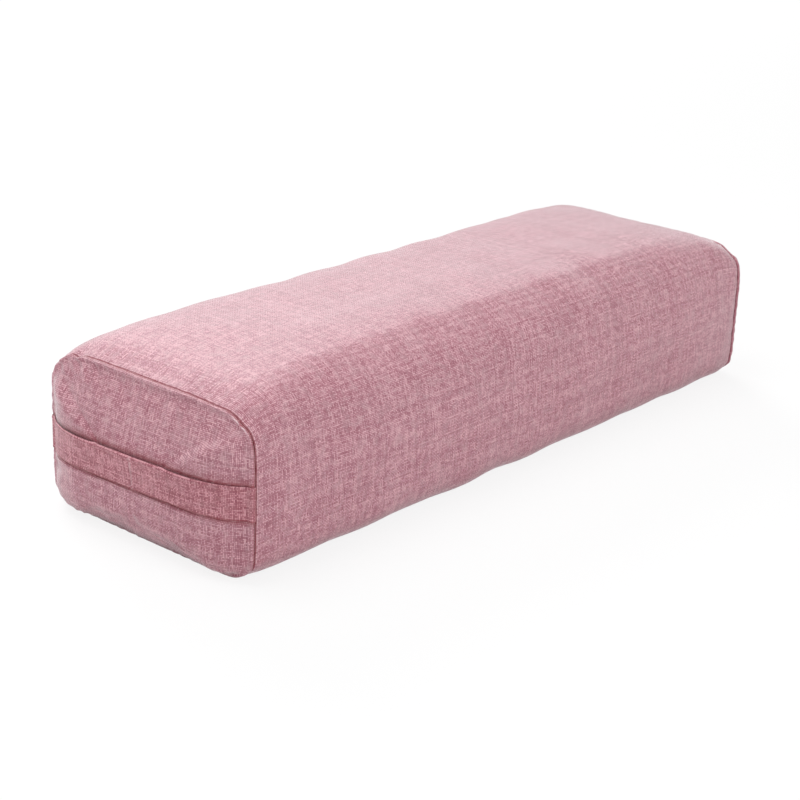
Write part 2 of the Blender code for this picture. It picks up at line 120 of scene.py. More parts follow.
# Zip, which lies in the cover's own long seam
zip_height = 0.0345
zip_middle_y = 0.114664
zip_lean = 0.009671
tape_end = 0.230
tape_inner = 0.0033
tape_width = 0.0102
tape_cloth = 0.0005
selvedge = 0.0012
spread_most = 0.0021
spread_start = 0.218
spread_length = 0.006
bend_low, bend_high = 0.208, 0.220
slot_half_length = 0.2242
slot_half_height = 0.00675
slot_clear = 0.0001
slot_corner = 0.0018
slot_band = 0.030
topstitch_length = 0.0022
topstitch_pitch = 0.0028
topstitch_place = 0.0023
topstitch_row = 0.0016
thread_radius = 0.00022
room_half = 0.236
room_depths = [-0.0218, -0.0138, -0.00715, 0.00715, 0.0138, 0.0218]
tape_room = zip_middle_y - 0.0006
slider_room = zip_middle_y - 0.00275
room_planes = [mid_width / 2, tape_room, slider_room, slider_room, tape_room, mid_width / 2]
foam_room_step = 0.0028

# Carry strap
strap_half_width = 0.01375
strap_front_height = 0.0645
strap_back_height = 0.0580
strap_thickness = 0.0020
strap_end_thickness = 0.0005
strap_gap = 0.00014
strap_stand = 0.0009
strap_tuck = 0.0016
strap_fold = 0.030
strap_flat_half = 0.0085
wrap_room = 0.0003
panel_room = 0.0004
press_top = 0.0005
press_low = 0.0021
press_side = 0.0016

# Spacing of the points that make the cloth
cloth_step = 0.0038
panel_step = 0.0023
strap_step = 0.0030
case_step = 0.0045
wadding_step = 0.006
foam_step = 0.008
closest_step = 0.00012
edge_steps = np.array([0, 0.3, 0.6, 1.0, 1.5, 2.1, 2.8, 3.7, 4.9, 6.5, 8.9]) / 1000
strap_edge_steps = np.array([0, 0.25, 0.6, 1.0, 1.5, 2.0, 2.6, 3.3, 4.4]) / 1000
seed = 7


def paired(a, b):
    """Two fields as the last axis of one."""
    return np.stack([a, b], axis=-1)


def grid_of(down, along):
    """A grid's two fields from its places down and along."""
    return np.meshgrid(down, along, indexing="ij")


def unit(vectors):
    """Vectors scaled to a length of one."""
    return vectors / np.maximum(np.linalg.norm(vectors, axis=-1, keepdims=True), 1e-12)


def lengths_down(points):
    """The length walked down a grid from its first row to each row, the sum of the straight steps."""
    steps = np.linalg.norm(np.diff(points, axis=0), axis=-1)
    return np.concatenate([np.zeros((1, points.shape[1])), np.cumsum(steps, axis=0)])


def bell(distance, width):
    """A bell curve: one at zero distance, falling off over the width."""
    return np.exp(-(distance / width) ** 2)


def ridges(distance, rows):
    """A sum of bell curves over a distance, each row its height, place and width."""
    return sum(height * bell(distance - place, width) for height, place, width in rows)


def smooth(share):
    """A soft step from 0 to 1 over shares 0 to 1."""
    share = np.clip(share, 0, 1)
    return share * share * (3 - 2 * share)


def fullness(x):
    """How full the section at x is: one less the eighth power of the share of the way to the seam."""
    return 1 - np.abs(np.asarray(x) / seam_half) ** swell_exponent


def section_sizes(x):
    """Half width, rise, drop and top exponent of the section at x, from the end's to the middle's."""
    full = fullness(x)
    half_width = (end_width + (mid_width - end_width) * full) / 2
    rise = end_height + (mid_height - end_height) * full - widest_height
    top_exponent = end_top_exponent + (mid_top_exponent - end_top_exponent) * full
    return half_width, rise, widest_height + base_flat, top_exponent


def section(x, turn, depth):
    """Points of the cover's form at x, a turn round it and a depth below its outer face.

    Two half superellipses meet at the widest height: across is the cosine to two over the exponent
    times the half width, up is the sine to the same power times the rise or the drop. A depth goes
    inwards along the section's normal, and the underside is pressed flat on the floor.
    """
    half_width, rise, drop, top_exponent = section_sizes(x)
    cosine, sine = np.cos(turn), np.sin(turn)
    exponent = np.where(sine > 0, top_exponent, underside_exponent)
    height = np.where(sine > 0, rise, drop)
    across = np.sign(cosine) * np.abs(cosine) ** (2 / exponent)
    up = np.sign(sine) * np.abs(sine) ** (2 / exponent)
    lean_y = np.sign(across) * np.abs(across) ** (exponent - 1) / half_width
    lean_z = np.sign(up) * np.abs(up) ** (exponent - 1) / height
    lean = np.hypot(lean_y, lean_z)
    y = half_width * across - depth * lean_y / lean
    z = widest_height + height * up - depth * lean_z / lean
    x, y, z = np.broadcast_arrays(x, y, np.maximum(z, np.maximum(depth, 0)))
    return np.stack([x, y, z], axis=-1)


def crowded_turns(start):
    """A round of turns from start, crowded towards each quarter turn, where a section is flattest.

    Within a quarter the share of it is u to four over the sum of u to four and one less u to four.
    """
    u = np.linspace(0, 1, 1001)[:-1]
    turns = np.arange(-1, 4)[:, None] + u**4 / (u**4 + (1 - u) ** 4)
    turns = turns.ravel() * np.pi / 2
    turns = turns[(turns > start) & (turns < start + 2 * np.pi)]
    return np.concatenate([[start], turns, [start + 2 * np.pi]])


# Turns round the sections, from the end's to the fullest, against the share of the way round
zip_drop = (widest_height - zip_height) / (widest_height + base_flat)
seam_turn = -math.asin(zip_drop ** (underside_exponent / 2))
even_shares = np.linspace(0, 1, 1601)
swells = np.linspace(0, 1, 41)
table_turns = crowded_turns(seam_turn)
table_rings = section(seam_half * (1 - swells[:, None]) ** (1 / swell_exponent), table_turns, 0.0)
table_lengths = lengths_down(table_rings.swapaxes(0, 1)).T
end_girth, girth = table_lengths[0, -1], table_lengths[-1, -1]
turn_table = np.stack([np.interp(even_shares, row / row[-1], table_turns) for row in table_lengths])


def between_cells(field, row, column):
    """Values of a field at fractional rows and columns, from the four cells about each place."""
    row, column = np.broadcast_arrays(row, column)
    low_row = np.clip(row.astype(int), 0, field.shape[0] - 2)
    low_column = np.clip(column.astype(int), 0, field.shape[1] - 2)
    down, along = row - low_row, column - low_column
    upper = field[low_row, low_column] * (1 - along) + field[low_row, low_column + 1] * along
    lower = field[low_row + 1, low_column] * (1 - along) + field[low_row + 1, low_column + 1] * along
    return upper * (1 - down) + lower * down


def turn_at(x, share):
    """The turn at a share of the way round the section at x, from the zip's seam over the top."""
    row, column = fullness(x) * (len(swells) - 1), np.asarray(share) * (len(even_shares) - 1)
    return between_cells(turn_table, row, column)


def share_at_end(turn):
    """The share of the way round the end seam at a turn."""
    return np.interp(turn, turn_table[0], even_shares)


def end_place(y, z):
    """Ring share and share round the end seam at which the end panel passes through y and z.

    The ring share is the size of the superellipse through the point against the seam's own.
    """
    half_width, rise, drop, exponent = section_sizes(seam_half)
    up = z - widest_height
    exponent = np.where(up > 0, exponent, underside_exponent)
    height = np.where(up > 0, rise, drop)
    a, b = np.abs(y / half_width) ** exponent, np.abs(up / height) ** exponent
    ring = (a + b) ** (1 / exponent)
    turn = np.arctan2(np.sign(up) * np.sqrt(b), np.sign(y) * np.sqrt(a))
    turn = np.where(turn < seam_turn, turn + 2 * np.pi, turn)
    return ring, share_at_end(turn)


def round_gap(a, b):
    """The distance between two shares round the seam, the shorter way, in metres."""
    gap = np.abs(a - b)
    return np.minimum(gap, 1 - gap) * end_girth


def from_long_seam(share):
    """The distance of a share round the wrap from its long seam, the shorter way."""
    return np.minimum(share, 1 - share) * girth


def seam_marks(share, from_seam, rows):
    """Pits, folds or shades at an end seam: two bell curves multiplied, along it and away from it.

    Each row is a share round the seam, a height, a width along it, a distance from it and a reach.
    """
    return sum(height * bell(round_gap(share, place), width) * bell(from_seam - distance, reach)
               for place, height, width, distance, reach in rows)


def drift(number, a, b, short, long, count=26):
    """A smooth field of about -1 to 1: the sum of waves in seeded directions, from short to long."""
    rng = np.random.default_rng(seed * 100 + number)
    total = 0
    for _ in range(count):
        angle = rng.uniform(0, np.pi)
        wave = 2 * np.pi / (short * (long / short) ** rng.uniform())
        total = total + np.cos(wave * (a * math.cos(angle) + b * math.sin(angle)) + rng.uniform(0, 2 * np.pi))
    return total / math.sqrt(count / 2) / 1.6


# Where the end seams are drawn in: side, turn in degrees, width along the seam, depth, reach from it
draws = [
    (-1, 131.0, 0.0090, 0.0024, 0.0075), (-1, 71.0, 0.0050, 0.0026, 0.0070),
    (-1, 100.0, 0.0140, 0.0008, 0.0090), (-1, 44.0, 0.0090, 0.0024, 0.0070),
    (-1, 218.0, 0.0070, 0.0014, 0.0060), (-1, 322.0, 0.0070, 0.0014, 0.0060),
    (1, 133.0, 0.0090, 0.0030, 0.0070), (1, 50.0, 0.0100, 0.0036, 0.0075),
    (1, 218.0, 0.0070, 0.0014, 0.0060), (1, 322.0, 0.0070, 0.0012, 0.0060),
]

# Shares round the near seam: its upper corner, the pit beside it, the wavy fold, the low crease
corner, pit, wavy = (share_at_end(math.radians(degrees)) for degrees in (131.0, 130.0, 62.0))
low_crease = end_place(-0.1110, 0.0168)[1]

# Pits and folds beside the near seam, and its painted shades, in rows that seam_marks takes
wrap_dents = [(pit, 0.0016, 0.0034, 0.0038, 0.0026), (low_crease, 0.0009, 0.0007, 0.0040, 0.0030)]
wrap_shades = [(corner, 0.50, 0.0018, 0.0018, 0.0016), (low_crease, 0.8, 0.0006, 0.0040, 0.0028)]
panel_dents = [(corner + place / end_girth, depth, 0.0011, 0.0030, 0.0030)
               for place, depth in ((-0.0105, 0.0006), (-0.0045, 0.0009), (0.0050, 0.0007))]
panel_shades = [(corner, 1.2, 0.0014, 0.0012, 0.0014)]


def seam_draw(side, share, from_seam, reach_share=1.0):
    """How far the cloth is drawn in near an end seam: bell curves along it that fade away from it."""
    total = 0.0 * share * from_seam
    for at_side, degrees, width, depth, reach in draws:
        place = share_at_end(math.radians(degrees))
        fade = np.exp(-(np.abs(from_seam) / (reach * reach_share)) ** 1.5)
        total = total + np.where(side == at_side, depth * bell(round_gap(share, place), width) * fade, 0)
    return total


def steps_between(low, high, fine_low=True, step=cloth_step):
    """Places from low to high, a step apart in the middle and closer towards the fine edges."""
    start = edge_steps if fine_low else np.zeros(1)
    count = max(int((high - low - start[-1] - edge_steps[-1]) / step), 2)
    middle = np.linspace(low + start[-1], high - edge_steps[-1], count + 1)
    return np.concatenate([low + start[:-1], middle, (high - edge_steps[:-1])[::-1]])


def normals_of(points, around=False):
    """Unit normals of a grid of points, from the cross product of its two directions."""
    if around:
        along = np.roll(points, -1, axis=1) - np.roll(points, 1, axis=1)
    else:
        along = np.gradient(points, axis=1)
    return unit(np.cross(np.gradient(points, axis=0), along))


# Movement of the cloth in the simulation, along its normal, on even grids over the wrap and panels,
# with the most that is kept, the grid's size, where the skin is held, and the reach of both blurs
settled = {"wrap": np.zeros((3, 3)), -1: np.zeros((3, 3)), 1: np.zeros((3, 3))}
settle_cap = 0.0020
settle_rows = 109
settle_columns = 124
floor_hold = 0.004
zip_hold = 0.010
fine_blur = 1.1
broad_blur = 7


def settled_by(key, down, share):
    """How far the simulation moves the wrap or a panel, at shares down and along its grid."""
    field = settled[key]
    return between_cells(field, down * (field.shape[0] - 1), share * (field.shape[1] - 1))


def settled_panel(side, ring, share):
    """How far the simulation moves an end panel outwards, faded out near its seam."""
    return settled_by(side, ring, share) * smooth((1 - ring) / 0.10)


def wrap_swell(x, share):
    """Shallow swells and hollows of the wrap, and the simulation's movement, both faded at seams."""
    from_seam, from_zip = seam_half - np.abs(x), from_long_seam(share)
    swell = swell_height * drift(3, x, share * girth, 0.050, 0.180)
    swell = swell * smooth(from_seam / 0.040) * smooth((from_zip - 0.010) / 0.020)
    moved = settled_by("wrap", (x + seam_half) / (2 * seam_half), share)
    return swell + moved * smooth(from_seam / 0.012) * smooth((from_zip - 0.008) / 0.014)


def pucker(number, along, distance, spacing, height, reach):
    """Small gathers beside a seam: waves along it that grow and die away over the reach."""
    wander = 1.6 * drift(number, along, 0, 0.03, 0.12)
    strength = 0.55 + 0.55 * drift(number + 1, along, 0, 0.025, 0.14)
    share = distance / reach
    return height * strength * np.cos(2 * np.pi * along / spacing + wander) * share * np.exp(1 - share)


def wrap_points(x, share, depth=0.0):
    """The wrap's smooth form at x and a share round it: swollen, and drawn in near the end seams."""
    side = np.where(x < 0, -1, 1)
    depth = depth + seam_draw(side, share, seam_half - np.abs(x)) - wrap_swell(x, share)
    return section(x, turn_at(x, share), depth)


def in_scene(name, data):
    """A new object of some data, put into the scene."""
    made = bpy.data.objects.new(name, data)
    bpy.context.scene.collection.objects.link(made)
    return made


def mesh_object(name, points, faces, cloth, painted_shading=None):
    """An object at the origin from points, faces and each point's place on the flat cloth, in metres.

    Each point's painted shading, from 0 to 1, gives how deep it lies in painted shade in a seam or
    under an edge; below 0, on a fold's crest, it gives a painted highlight.
    """
    mesh = bpy.data.meshes.new(name)
    mesh.from_pydata(points.tolist(), [], faces)
    # Painted shading: painted shade in seams and under edges, painted highlight on folds' crests
    if painted_shading is not None:
        mesh.attributes.new("painted_shading", "FLOAT", "POINT").data.foreach_set("value", painted_shading.astype(np.float32))
    corners = np.zeros(len(mesh.loops), np.int32)
    mesh.loops.foreach_get("vertex_index", corners)
    mesh.uv_layers.new(name="cloth").data.foreach_set("uv", cloth[corners].astype(np.float32).ravel())
    mesh.polygons.foreach_set("use_smooth", np.ones(len(mesh.polygons), bool))
    mesh.update()
    return in_scene(name, mesh)


def grid_faces(rows, columns, around=False, flip=False, closed=False):
    """Four-sided faces of a grid of rows by columns, as a list, joined at its ends where it closes."""
    row, column = grid_of(np.arange(rows - (not closed)), np.arange(columns - (not around)))
    right, row, below = (column + 1) % columns, row * columns, (row + 1) % rows * columns
    corners = (row + column, row + right, below + right, below + column)
    faces = np.stack([c.ravel() for c in corners], axis=1)
    return faces[:, ::-1].tolist() if flip else faces.tolist()


def surface_piece(name, points, cloth, material, around=False, flip=False, poles=(), thickness=0.0,
                  wall_offset=-1, closed=False, flat_poles=False, painted_shading=None):
    """A piece from a grid, closed by a point over its first or last row where it has poles.

    A pole is the row, 0 or -1, that it closes: its point and its place on the cloth are that row's mean.
    """
    rows, columns = points.shape[:2]
    faces = grid_faces(rows, columns, around, flip, closed)
    smooth_count = len(faces)
    flat_points, flat_cloth = points.reshape(-1, 3), cloth.reshape(-1, 2)
    flat_painted_shading = None if painted_shading is None else np.concatenate([painted_shading.ravel(), np.zeros(len(poles))])
    first = np.arange(columns)
    for row in poles:
        top = len(flat_points)
        start = (rows - 1) * columns if row else 0
        flat_points = np.vstack([flat_points, points[row].mean(axis=0)])
        flat_cloth = np.vstack([flat_cloth, cloth[row].mean(axis=0)])
        fan = np.stack([start + first, start + (first + 1) % columns, np.full(columns, top)], axis=1)
        faces += (fan if flip == (row == 0) else fan[:, ::-1]).tolist()
    made = mesh_object(name, flat_points, faces, flat_cloth, flat_painted_shading)
    if flat_poles:
        made.data.polygons.foreach_set("use_smooth", np.arange(len(faces)) < smooth_count)
        made.data.update()
    if thickness:
        wall = made.modifiers.new("wall", "SOLIDIFY")
        wall.thickness = thickness
        wall.offset = wall_offset
    made.data.materials.append(material)
    return made


def seat(piece, node):
    """Rides a piece on the root body, in place of a CAD node, which it hides."""
    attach(piece, "root")
    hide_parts(node)


def rolled_rim(last, normal, plane, outward, tuck):
    """Rows that roll a cloth's edge into its seam and tuck it down.

    From the last row the normal turns to outward round an arc whose end touches the seam's plane,
    and the cloth then goes straight on, into the seam, by the tuck.
    """
    facing = np.array([outward, 0.0, 0.0])
    radius = ((plane - last[..., 0]) / (outward - normal[..., 0]))[..., None]
    cosine = normal @ facing
    whole = np.arccos(np.clip(cosine, -1, 1))[..., None]
    along = unit(facing - cosine[..., None] * normal)
    centre = last - radius * normal
    angles = [whole * step / roll_steps for step in range(1, roll_steps + 1)]
    rows = [centre + radius * (normal * np.cos(angle) + along * np.sin(angle)) for angle in angles]
    heading = along * np.cos(whole) - normal * np.sin(whole)
    rows += [rows[-1] + heading * tuck * share for share in (0.5, 1.0)]
    return np.stack(rows)


def slot_gap(x):
    """Half the height of the zip's slot at x: its full height, with small rounded ends."""
    into = np.clip((np.abs(x) - slot_half_length + slot_corner) / slot_corner, 0, 1)
    return slot_half_height * np.sqrt(1 - into**2) + slot_clear


def wrap_stations():
    """Places along the wrap: fine towards the end seams and at the slot's ends."""
    middle = steps_between(-seam_half + wrap_roll, seam_half - wrap_roll)
    corner_start = slot_half_length - slot_corner
    round_end = corner_start + slot_corner * np.sin(np.linspace(0, np.pi / 2, 8))
    near_slot = np.concatenate([corner_start - np.array([0.003, 0.0012]), round_end, [round_end[-1] + 0.001]])
    places = np.sort(np.concatenate([middle, near_slot, -near_slot]))
    return places[np.concatenate([[True], np.diff(places) >= closest_step])]


def slot_place(x, share):
    """A wrap point's share round it with its long edges parted for the zip, and its edge distance."""
    along = from_long_seam(share)
    pushed = (along + slot_gap(x) * np.clip(1 - along / slot_band, 0, 1)) / girth
    return np.where(share < 0.5, pushed, 1 - pushed), along


def wrap_relief(x, share, from_edge):
    """Small relief of the wrap's outer face: valleys, gathers and stitches at its seams.

    Along the long seam the cloth dips into the seam; along the slot its hem stands a little proud.
    """
    from_seam = seam_half - np.abs(x)
    along = share * girth
    stitch = np.cos(2 * np.pi * along / stitch_length)
    relief = -valley_depth * (1 + 0.25 * stitch) * np.exp(-from_seam / valley_reach)
    relief += pucker(21, along + np.sign(x), from_seam, spacing=0.0115, height=0.00040, reach=0.0060)
    relief += pucker(25, x, from_edge, spacing=0.0140, height=0.00030, reach=0.0080)
    open_share = slot_gap(x) / slot_half_height
    closed_seam = ridges(from_edge, [(-0.0012, 0, 0.0009), (0.0003, 0.0024, 0.0014)])
    hem_stitch = 0.6 + 0.4 * np.cos(2 * np.pi * x / topstitch_pitch)
    hem = ridges(from_edge, [(0.00035, 0.0011, 0.0009), (-0.0002, 0, 0.0004)])
    hem = hem - 0.00035 * hem_stitch * bell(from_edge - topstitch_place, 0.0005)
    relief += (1 - open_share) * closed_seam + open_share * hem
    return relief - (x < 0) * seam_marks(share, from_seam, wrap_dents)


def wrap_painted_shading(x, share):
    """Painted shade of the wrap beside the end seams, in the corner's pit and fold, and a painted highlight
    on the crest just beside each seam.
    """
    from_seam = seam_half - np.abs(x)
    near = x < 0
    crest = 0.06 + 0.30 * bell(round_gap(share, corner), 0.0080)
    beside = np.where(near, 0.60, 0.15) * bell(from_seam, 0.0006)
    beside = beside - np.where(near, crest, 0.05) * bell(from_seam - 0.0014, 0.0005)
    return beside + near * seam_marks(share, from_seam, wrap_shades)


def make_wrap(material):
    """The sheet round the top, the long sides and the underside."""
    xs = wrap_stations()
    x, share = grid_of(xs, steps_between(0, girth) / girth)
    place, from_edge = slot_place(x, share)
    points = wrap_points(x, place)
    points = points - normals_of(points) * wrap_relief(x, place, from_edge)[..., None]
    points[..., 2] = np.maximum(points[..., 2], 0)
    normal = -normals_of(points)
    near_plane = -seam_half + wrap_room * strap_mask(share[0])
    near = rolled_rim(points[0], normal[0], near_plane, -1, wrap_tuck)[::-1]
    far = rolled_rim(points[-1], normal[-1], seam_half + 0 * near_plane, 1, wrap_tuck)
    points = np.concatenate([near, points, far])
    length = np.concatenate([xs[0] - rim_steps[::-1], xs, xs[-1] + rim_steps])
    cloth = paired(*grid_of(length, share[0] * girth))
    # Painted shade in the rolled rims and beside the seams, and painted highlight on the crests beside them
    rim = rim_painted_shade[:, None] + 0 * share[:1]
    painted_shading = np.clip(np.concatenate([rim[::-1], wrap_painted_shading(x, place), far_wrap_shade * rim]), -1, 1)
    piece = surface_piece("cover_wrap_cloth", points, cloth, material,
                          thickness=cover_cloth, painted_shading=painted_shading)
    seat(piece, "cover_wrap")


def bulge_exponent(turn, ring):
    """The power by which a panel's bulge falls off: low towards the top, where it hangs straight."""
    lowest = np.where(np.cos(turn) > 0, 0.20, 0.45)
    top_share = smooth((np.sin(turn) - lowest) / 0.35) * smooth(ring / 0.5)
    return panel_exponent + (panel_top_exponent - panel_exponent) * top_share


def fold_form(from_seam):
    """The puffed fold of an end panel beside its seam: a bell curve a little way in from it."""
    return fold_height * bell(from_seam - fold_place, fold_reach)


def drawn_in(loop, share, x):
    """A loop's points drawn towards the end's middle by a share, and put at x."""
    flat = end_middle + np.asarray(share)[..., None] * (loop[..., 1:] - end_middle)
    return np.concatenate([np.broadcast_to(x, flat.shape[:-1])[..., None], flat], axis=-1)


def panel_form(side, ring, share):
    """An end panel's smooth form and its distance from the seam.

    The end seam's loop is drawn towards its middle by the ring share, and stands out by the bulge
    times one less a power of the share. Near the seam it follows the seam's drawn-in places.
    """
    turn = turn_at(seam_half, share)
    loop = section(seam_half, turn, 0.0)
    flat_gap = np.linalg.norm(loop[..., 1:] - end_middle, axis=-1)
    exponent = bulge_exponent(turn, ring)
    from_seam = (1 - ring) * np.hypot(flat_gap, exponent * panel_bulge * panel_slope_share)
    loop = section(seam_half, turn, seam_draw(side, share, from_seam, panel_draw_reach))
    return drawn_in(loop, ring, side * (panel_start + panel_bulge * (1 - ring**exponent))), from_seam


def strap_middle(y):
    """The height of the strap's middle line at y, which falls from the zip's side to the other."""
    share = y / (end_width / 2)
    return (strap_front_height + strap_back_height) / 2 + (strap_back_height - strap_front_height) / 2 * share


def strap_mask(share):
    """1 where a place round the near end seam lies under the strap's sewn ends, and 0 beyond."""
    total = 0
    for y in (-end_width / 2 + 0.0001, end_width / 2 - 0.0001):
        middle = end_place(y, strap_middle(y))[1]
        total = total + 1 - smooth((round_gap(share, middle) - strap_half_width) / 0.0025)
    return total


def strap_press(y, z, from_seam):
    """How far the strap presses the panel in: deeper towards its lower edge, and softer above it."""
    above = z - strap_middle(y)
    band = 1 - smooth((above - strap_half_width + 0.002) / 0.009)
    band = band * (1 - smooth((-above - strap_half_width + 0.0003) / 0.0032))
    deep = press_top + (press_low - press_top) * smooth(0.5 - above / (2 * strap_half_width))
    deep = deep + (press_side - deep) * smooth((np.abs(y) / (end_width / 2) - 0.50) / 0.35)
    return deep * band * smooth(from_seam / 0.006)


def panel_relief(side, ring, share, points, from_seam):
    """Relief of an end panel: the fold beside its seam, gathers, soft bands and shallow dents."""
    y, z = points[..., 1], points[..., 2]
    along = share * end_girth
    stitch = np.cos(2 * np.pi * along / stitch_length)
    waviness = 0.10 + 0.35 * bell(round_gap(share, wavy), 0.030) * (side < 0)
    waves = waviness * drift(33 + side, along, 0, 0.010, 0.03) + 0.05 * stitch
    relief = fold_form(from_seam) * (1 + waves) - 0.0003 * bell(from_seam - 0.0085, 0.0035)
    soft = 0.0006 * drift(11 + side, y, z, 0.025, 0.090)
    bands = 0.0008 * drift(15 + side, y, 0.25 * z, 0.022, 0.060) * smooth((z - 0.070) / 0.040)
    loose = (soft + bands) * smooth(from_seam / 0.018) + settled_panel(side, ring, share)
    loose += pucker(41 + 3 * side, along, from_seam, spacing=0.0105, height=0.00055, reach=0.0065)
    if side < 0:
        under = 1 - smooth((np.abs(z - strap_middle(y)) - strap_half_width) / 0.012)
        loose = loose * (1 - under) - strap_press(y, z, from_seam) - seam_marks(share, from_seam, panel_dents)
    return relief + loose


def panel_painted_shading(side, share, points, from_seam):
    """Painted shade of an end panel: in its seam, in the corner's pit, along the strap's edges and above it,
    less a painted highlight on the fold's crest beside the seam.
    """
    beside = bell(from_seam, 0.0007)
    crest = bell(from_seam - 0.0016, 0.0006)
    if side > 0:
        return 0.1 * beside - 0.04 * crest
    crest = (0.04 + 0.80 * bell(round_gap(share, corner), 0.0090)) * crest
    above = points[..., 2] - strap_middle(points[..., 1]) - strap_half_width
    below = -above - 2 * strap_half_width
    strap_edge_shade = ridges(above, [(0.45, 0.0002, 0.0018)]) + ridges(below, [(0.8, 0.0002, 0.0014)])
    strap_edge_shade = strap_edge_shade + 0.40 * bell(above, 0.0050) * (above > 0)
    return beside - crest + seam_marks(share, from_seam, panel_shades) + strap_edge_shade


def panel_rings():
    """Ring shares of a panel's rows, from near its middle to just inside its seam."""
    shares = np.linspace(0, 1, 4001)
    profile = paired(shares * panel_reach, panel_bulge * (1 - shares**panel_exponent))
    lengths = lengths_down(profile[:, None])[:, 0]
    rows = steps_between(0.0015, lengths[-1] - panel_roll, fine_low=False, step=panel_step)
    return np.interp(rows, lengths, shares)


def make_panel(end, side, material):
    """An end panel with its seam's rolled rim and the allowance that turns back under the wrap."""
    rings = panel_rings()
    shares = steps_between(0, end_girth, step=panel_step)[:-1] / end_girth
    ring, share = grid_of(rings, shares)
    points, from_seam = panel_form(side, ring, share)
    relief = panel_relief(side, ring, share, points, from_seam)
    points = points + side * normals_of(points, around=True) * relief[..., None]
    normal = side * normals_of(points, around=True)
    points[..., 2] = np.maximum(points[..., 2], panel_floor)
    # Painted shade and painted highlight of the panel's main rows
    main = panel_painted_shading(side, share, points, from_seam)
    lifted = panel_room * strap_mask(shares) * (side < 0)
    rim = rolled_rim(points[-1], normal[-1], side * (seam_half + seam_gap + lifted), -side, panel_tuck)
    hem = [section(side * x, turn_at(x, shares), depth + seam_draw(side, shares, seam_half - x))
           for x, depth in allowance_rows]
    points = np.concatenate([points, rim, np.stack(hem)])
    start = np.linalg.norm(points[0, :, 1:] - end_middle, axis=-1)
    direction = unit(points[len(rings) // 2, :, 1:] - end_middle)
    cloth = (start + lengths_down(points))[..., None] * direction * np.array([-side, 1])
    # Painted shade in the seam's rolled rim and the allowance, less at the far end
    sewn = np.concatenate([0.7 + 0.3 * np.linspace(0, 1, roll_steps + 2), np.ones(len(hem))])
    sewn = sewn[:, None] * (1.0 if side < 0 else far_panel_shade) + 0 * shares
    painted_shading = np.clip(np.concatenate([main, sewn]), -1, 1)
    piece = surface_piece(f"cover_panel_{end}", points, cloth, material, around=True, flip=side > 0,
                          poles=(0,), thickness=cover_cloth, painted_shading=painted_shading)
    seat(piece, f"cover_end_{end}")


def strap_normals(points, end_side):
    """Unit normals of the strap's grid, facing away from the bolster's end."""
    return normals_of(points) * -end_side


def strap_faces(y, across, share_of_way):
    """How far the strap's outer and inner face stand off the panel: its lift, thickness and rims.

    The thickness falls to the sewn end as a quarter circle, and each edge is rounded as one.
    """
    from_edge = strap_half_width - np.abs(across)
    thick = strap_thickness - strap_end_thickness
    thick = strap_end_thickness + thick * np.sqrt(np.maximum(1 - share_of_way**2, 0))
    loose = 1 - smooth((share_of_way - 0.45) / 0.40)
    lift = strap_gap + strap_stand * loose * smooth((across + 0.3 * strap_half_width) / 0.016)
    lift = lift + 0.0002 * (1 + drift(51, y, 0, 0.03, 0.09)) * loose
    from_round = np.clip(from_edge / np.where(across > 0, 0.0019, 0.0009), 0, 1)
    rounding = 1 - np.sqrt(np.clip(1 - (1 - from_round) ** 2, 0, 1))
    rim = ridges(from_edge, [(0.00050, 0.0017, 0.0011), (-0.00030, 0.0037, 0.0006)])
    rim = rim * np.where(across > 0, 1.0, 0.4)
    outer = lift + thick * (1 - 0.5 * rounding) + rim * (1 - 0.5 * share_of_way)
    return outer, lift + thick * 0.5 * rounding


def strap_painted_shading(loop, across, from_seam):
    """Painted shade of the strap: at its edges' lines, underneath and in its sewn end, and a painted
    highlight on its top edge's rim.
    """
    # Painted shade on a line below the top edge's rim and along the lower edge, and a painted highlight on
    # the top edge's rim
    edges = ridges(strap_half_width - across, [(0.45, 0.0036, 0.0004), (-0.15, 0.0016, 0.0008)])
    edges = edges + 0.95 * bell(strap_half_width + across, 0.0013)
    painted_shading = np.concatenate([edges, np.ones(len(across))])[None, :] + 0 * loop[..., 0]
    end_shade = 0.7 * bell(from_seam[:, :1], 0.0008)
    sewn = np.linspace(0.3, 1, len(loop) - len(from_seam))[:, None]
    return np.maximum(painted_shading, np.concatenate([end_shade, sewn]))


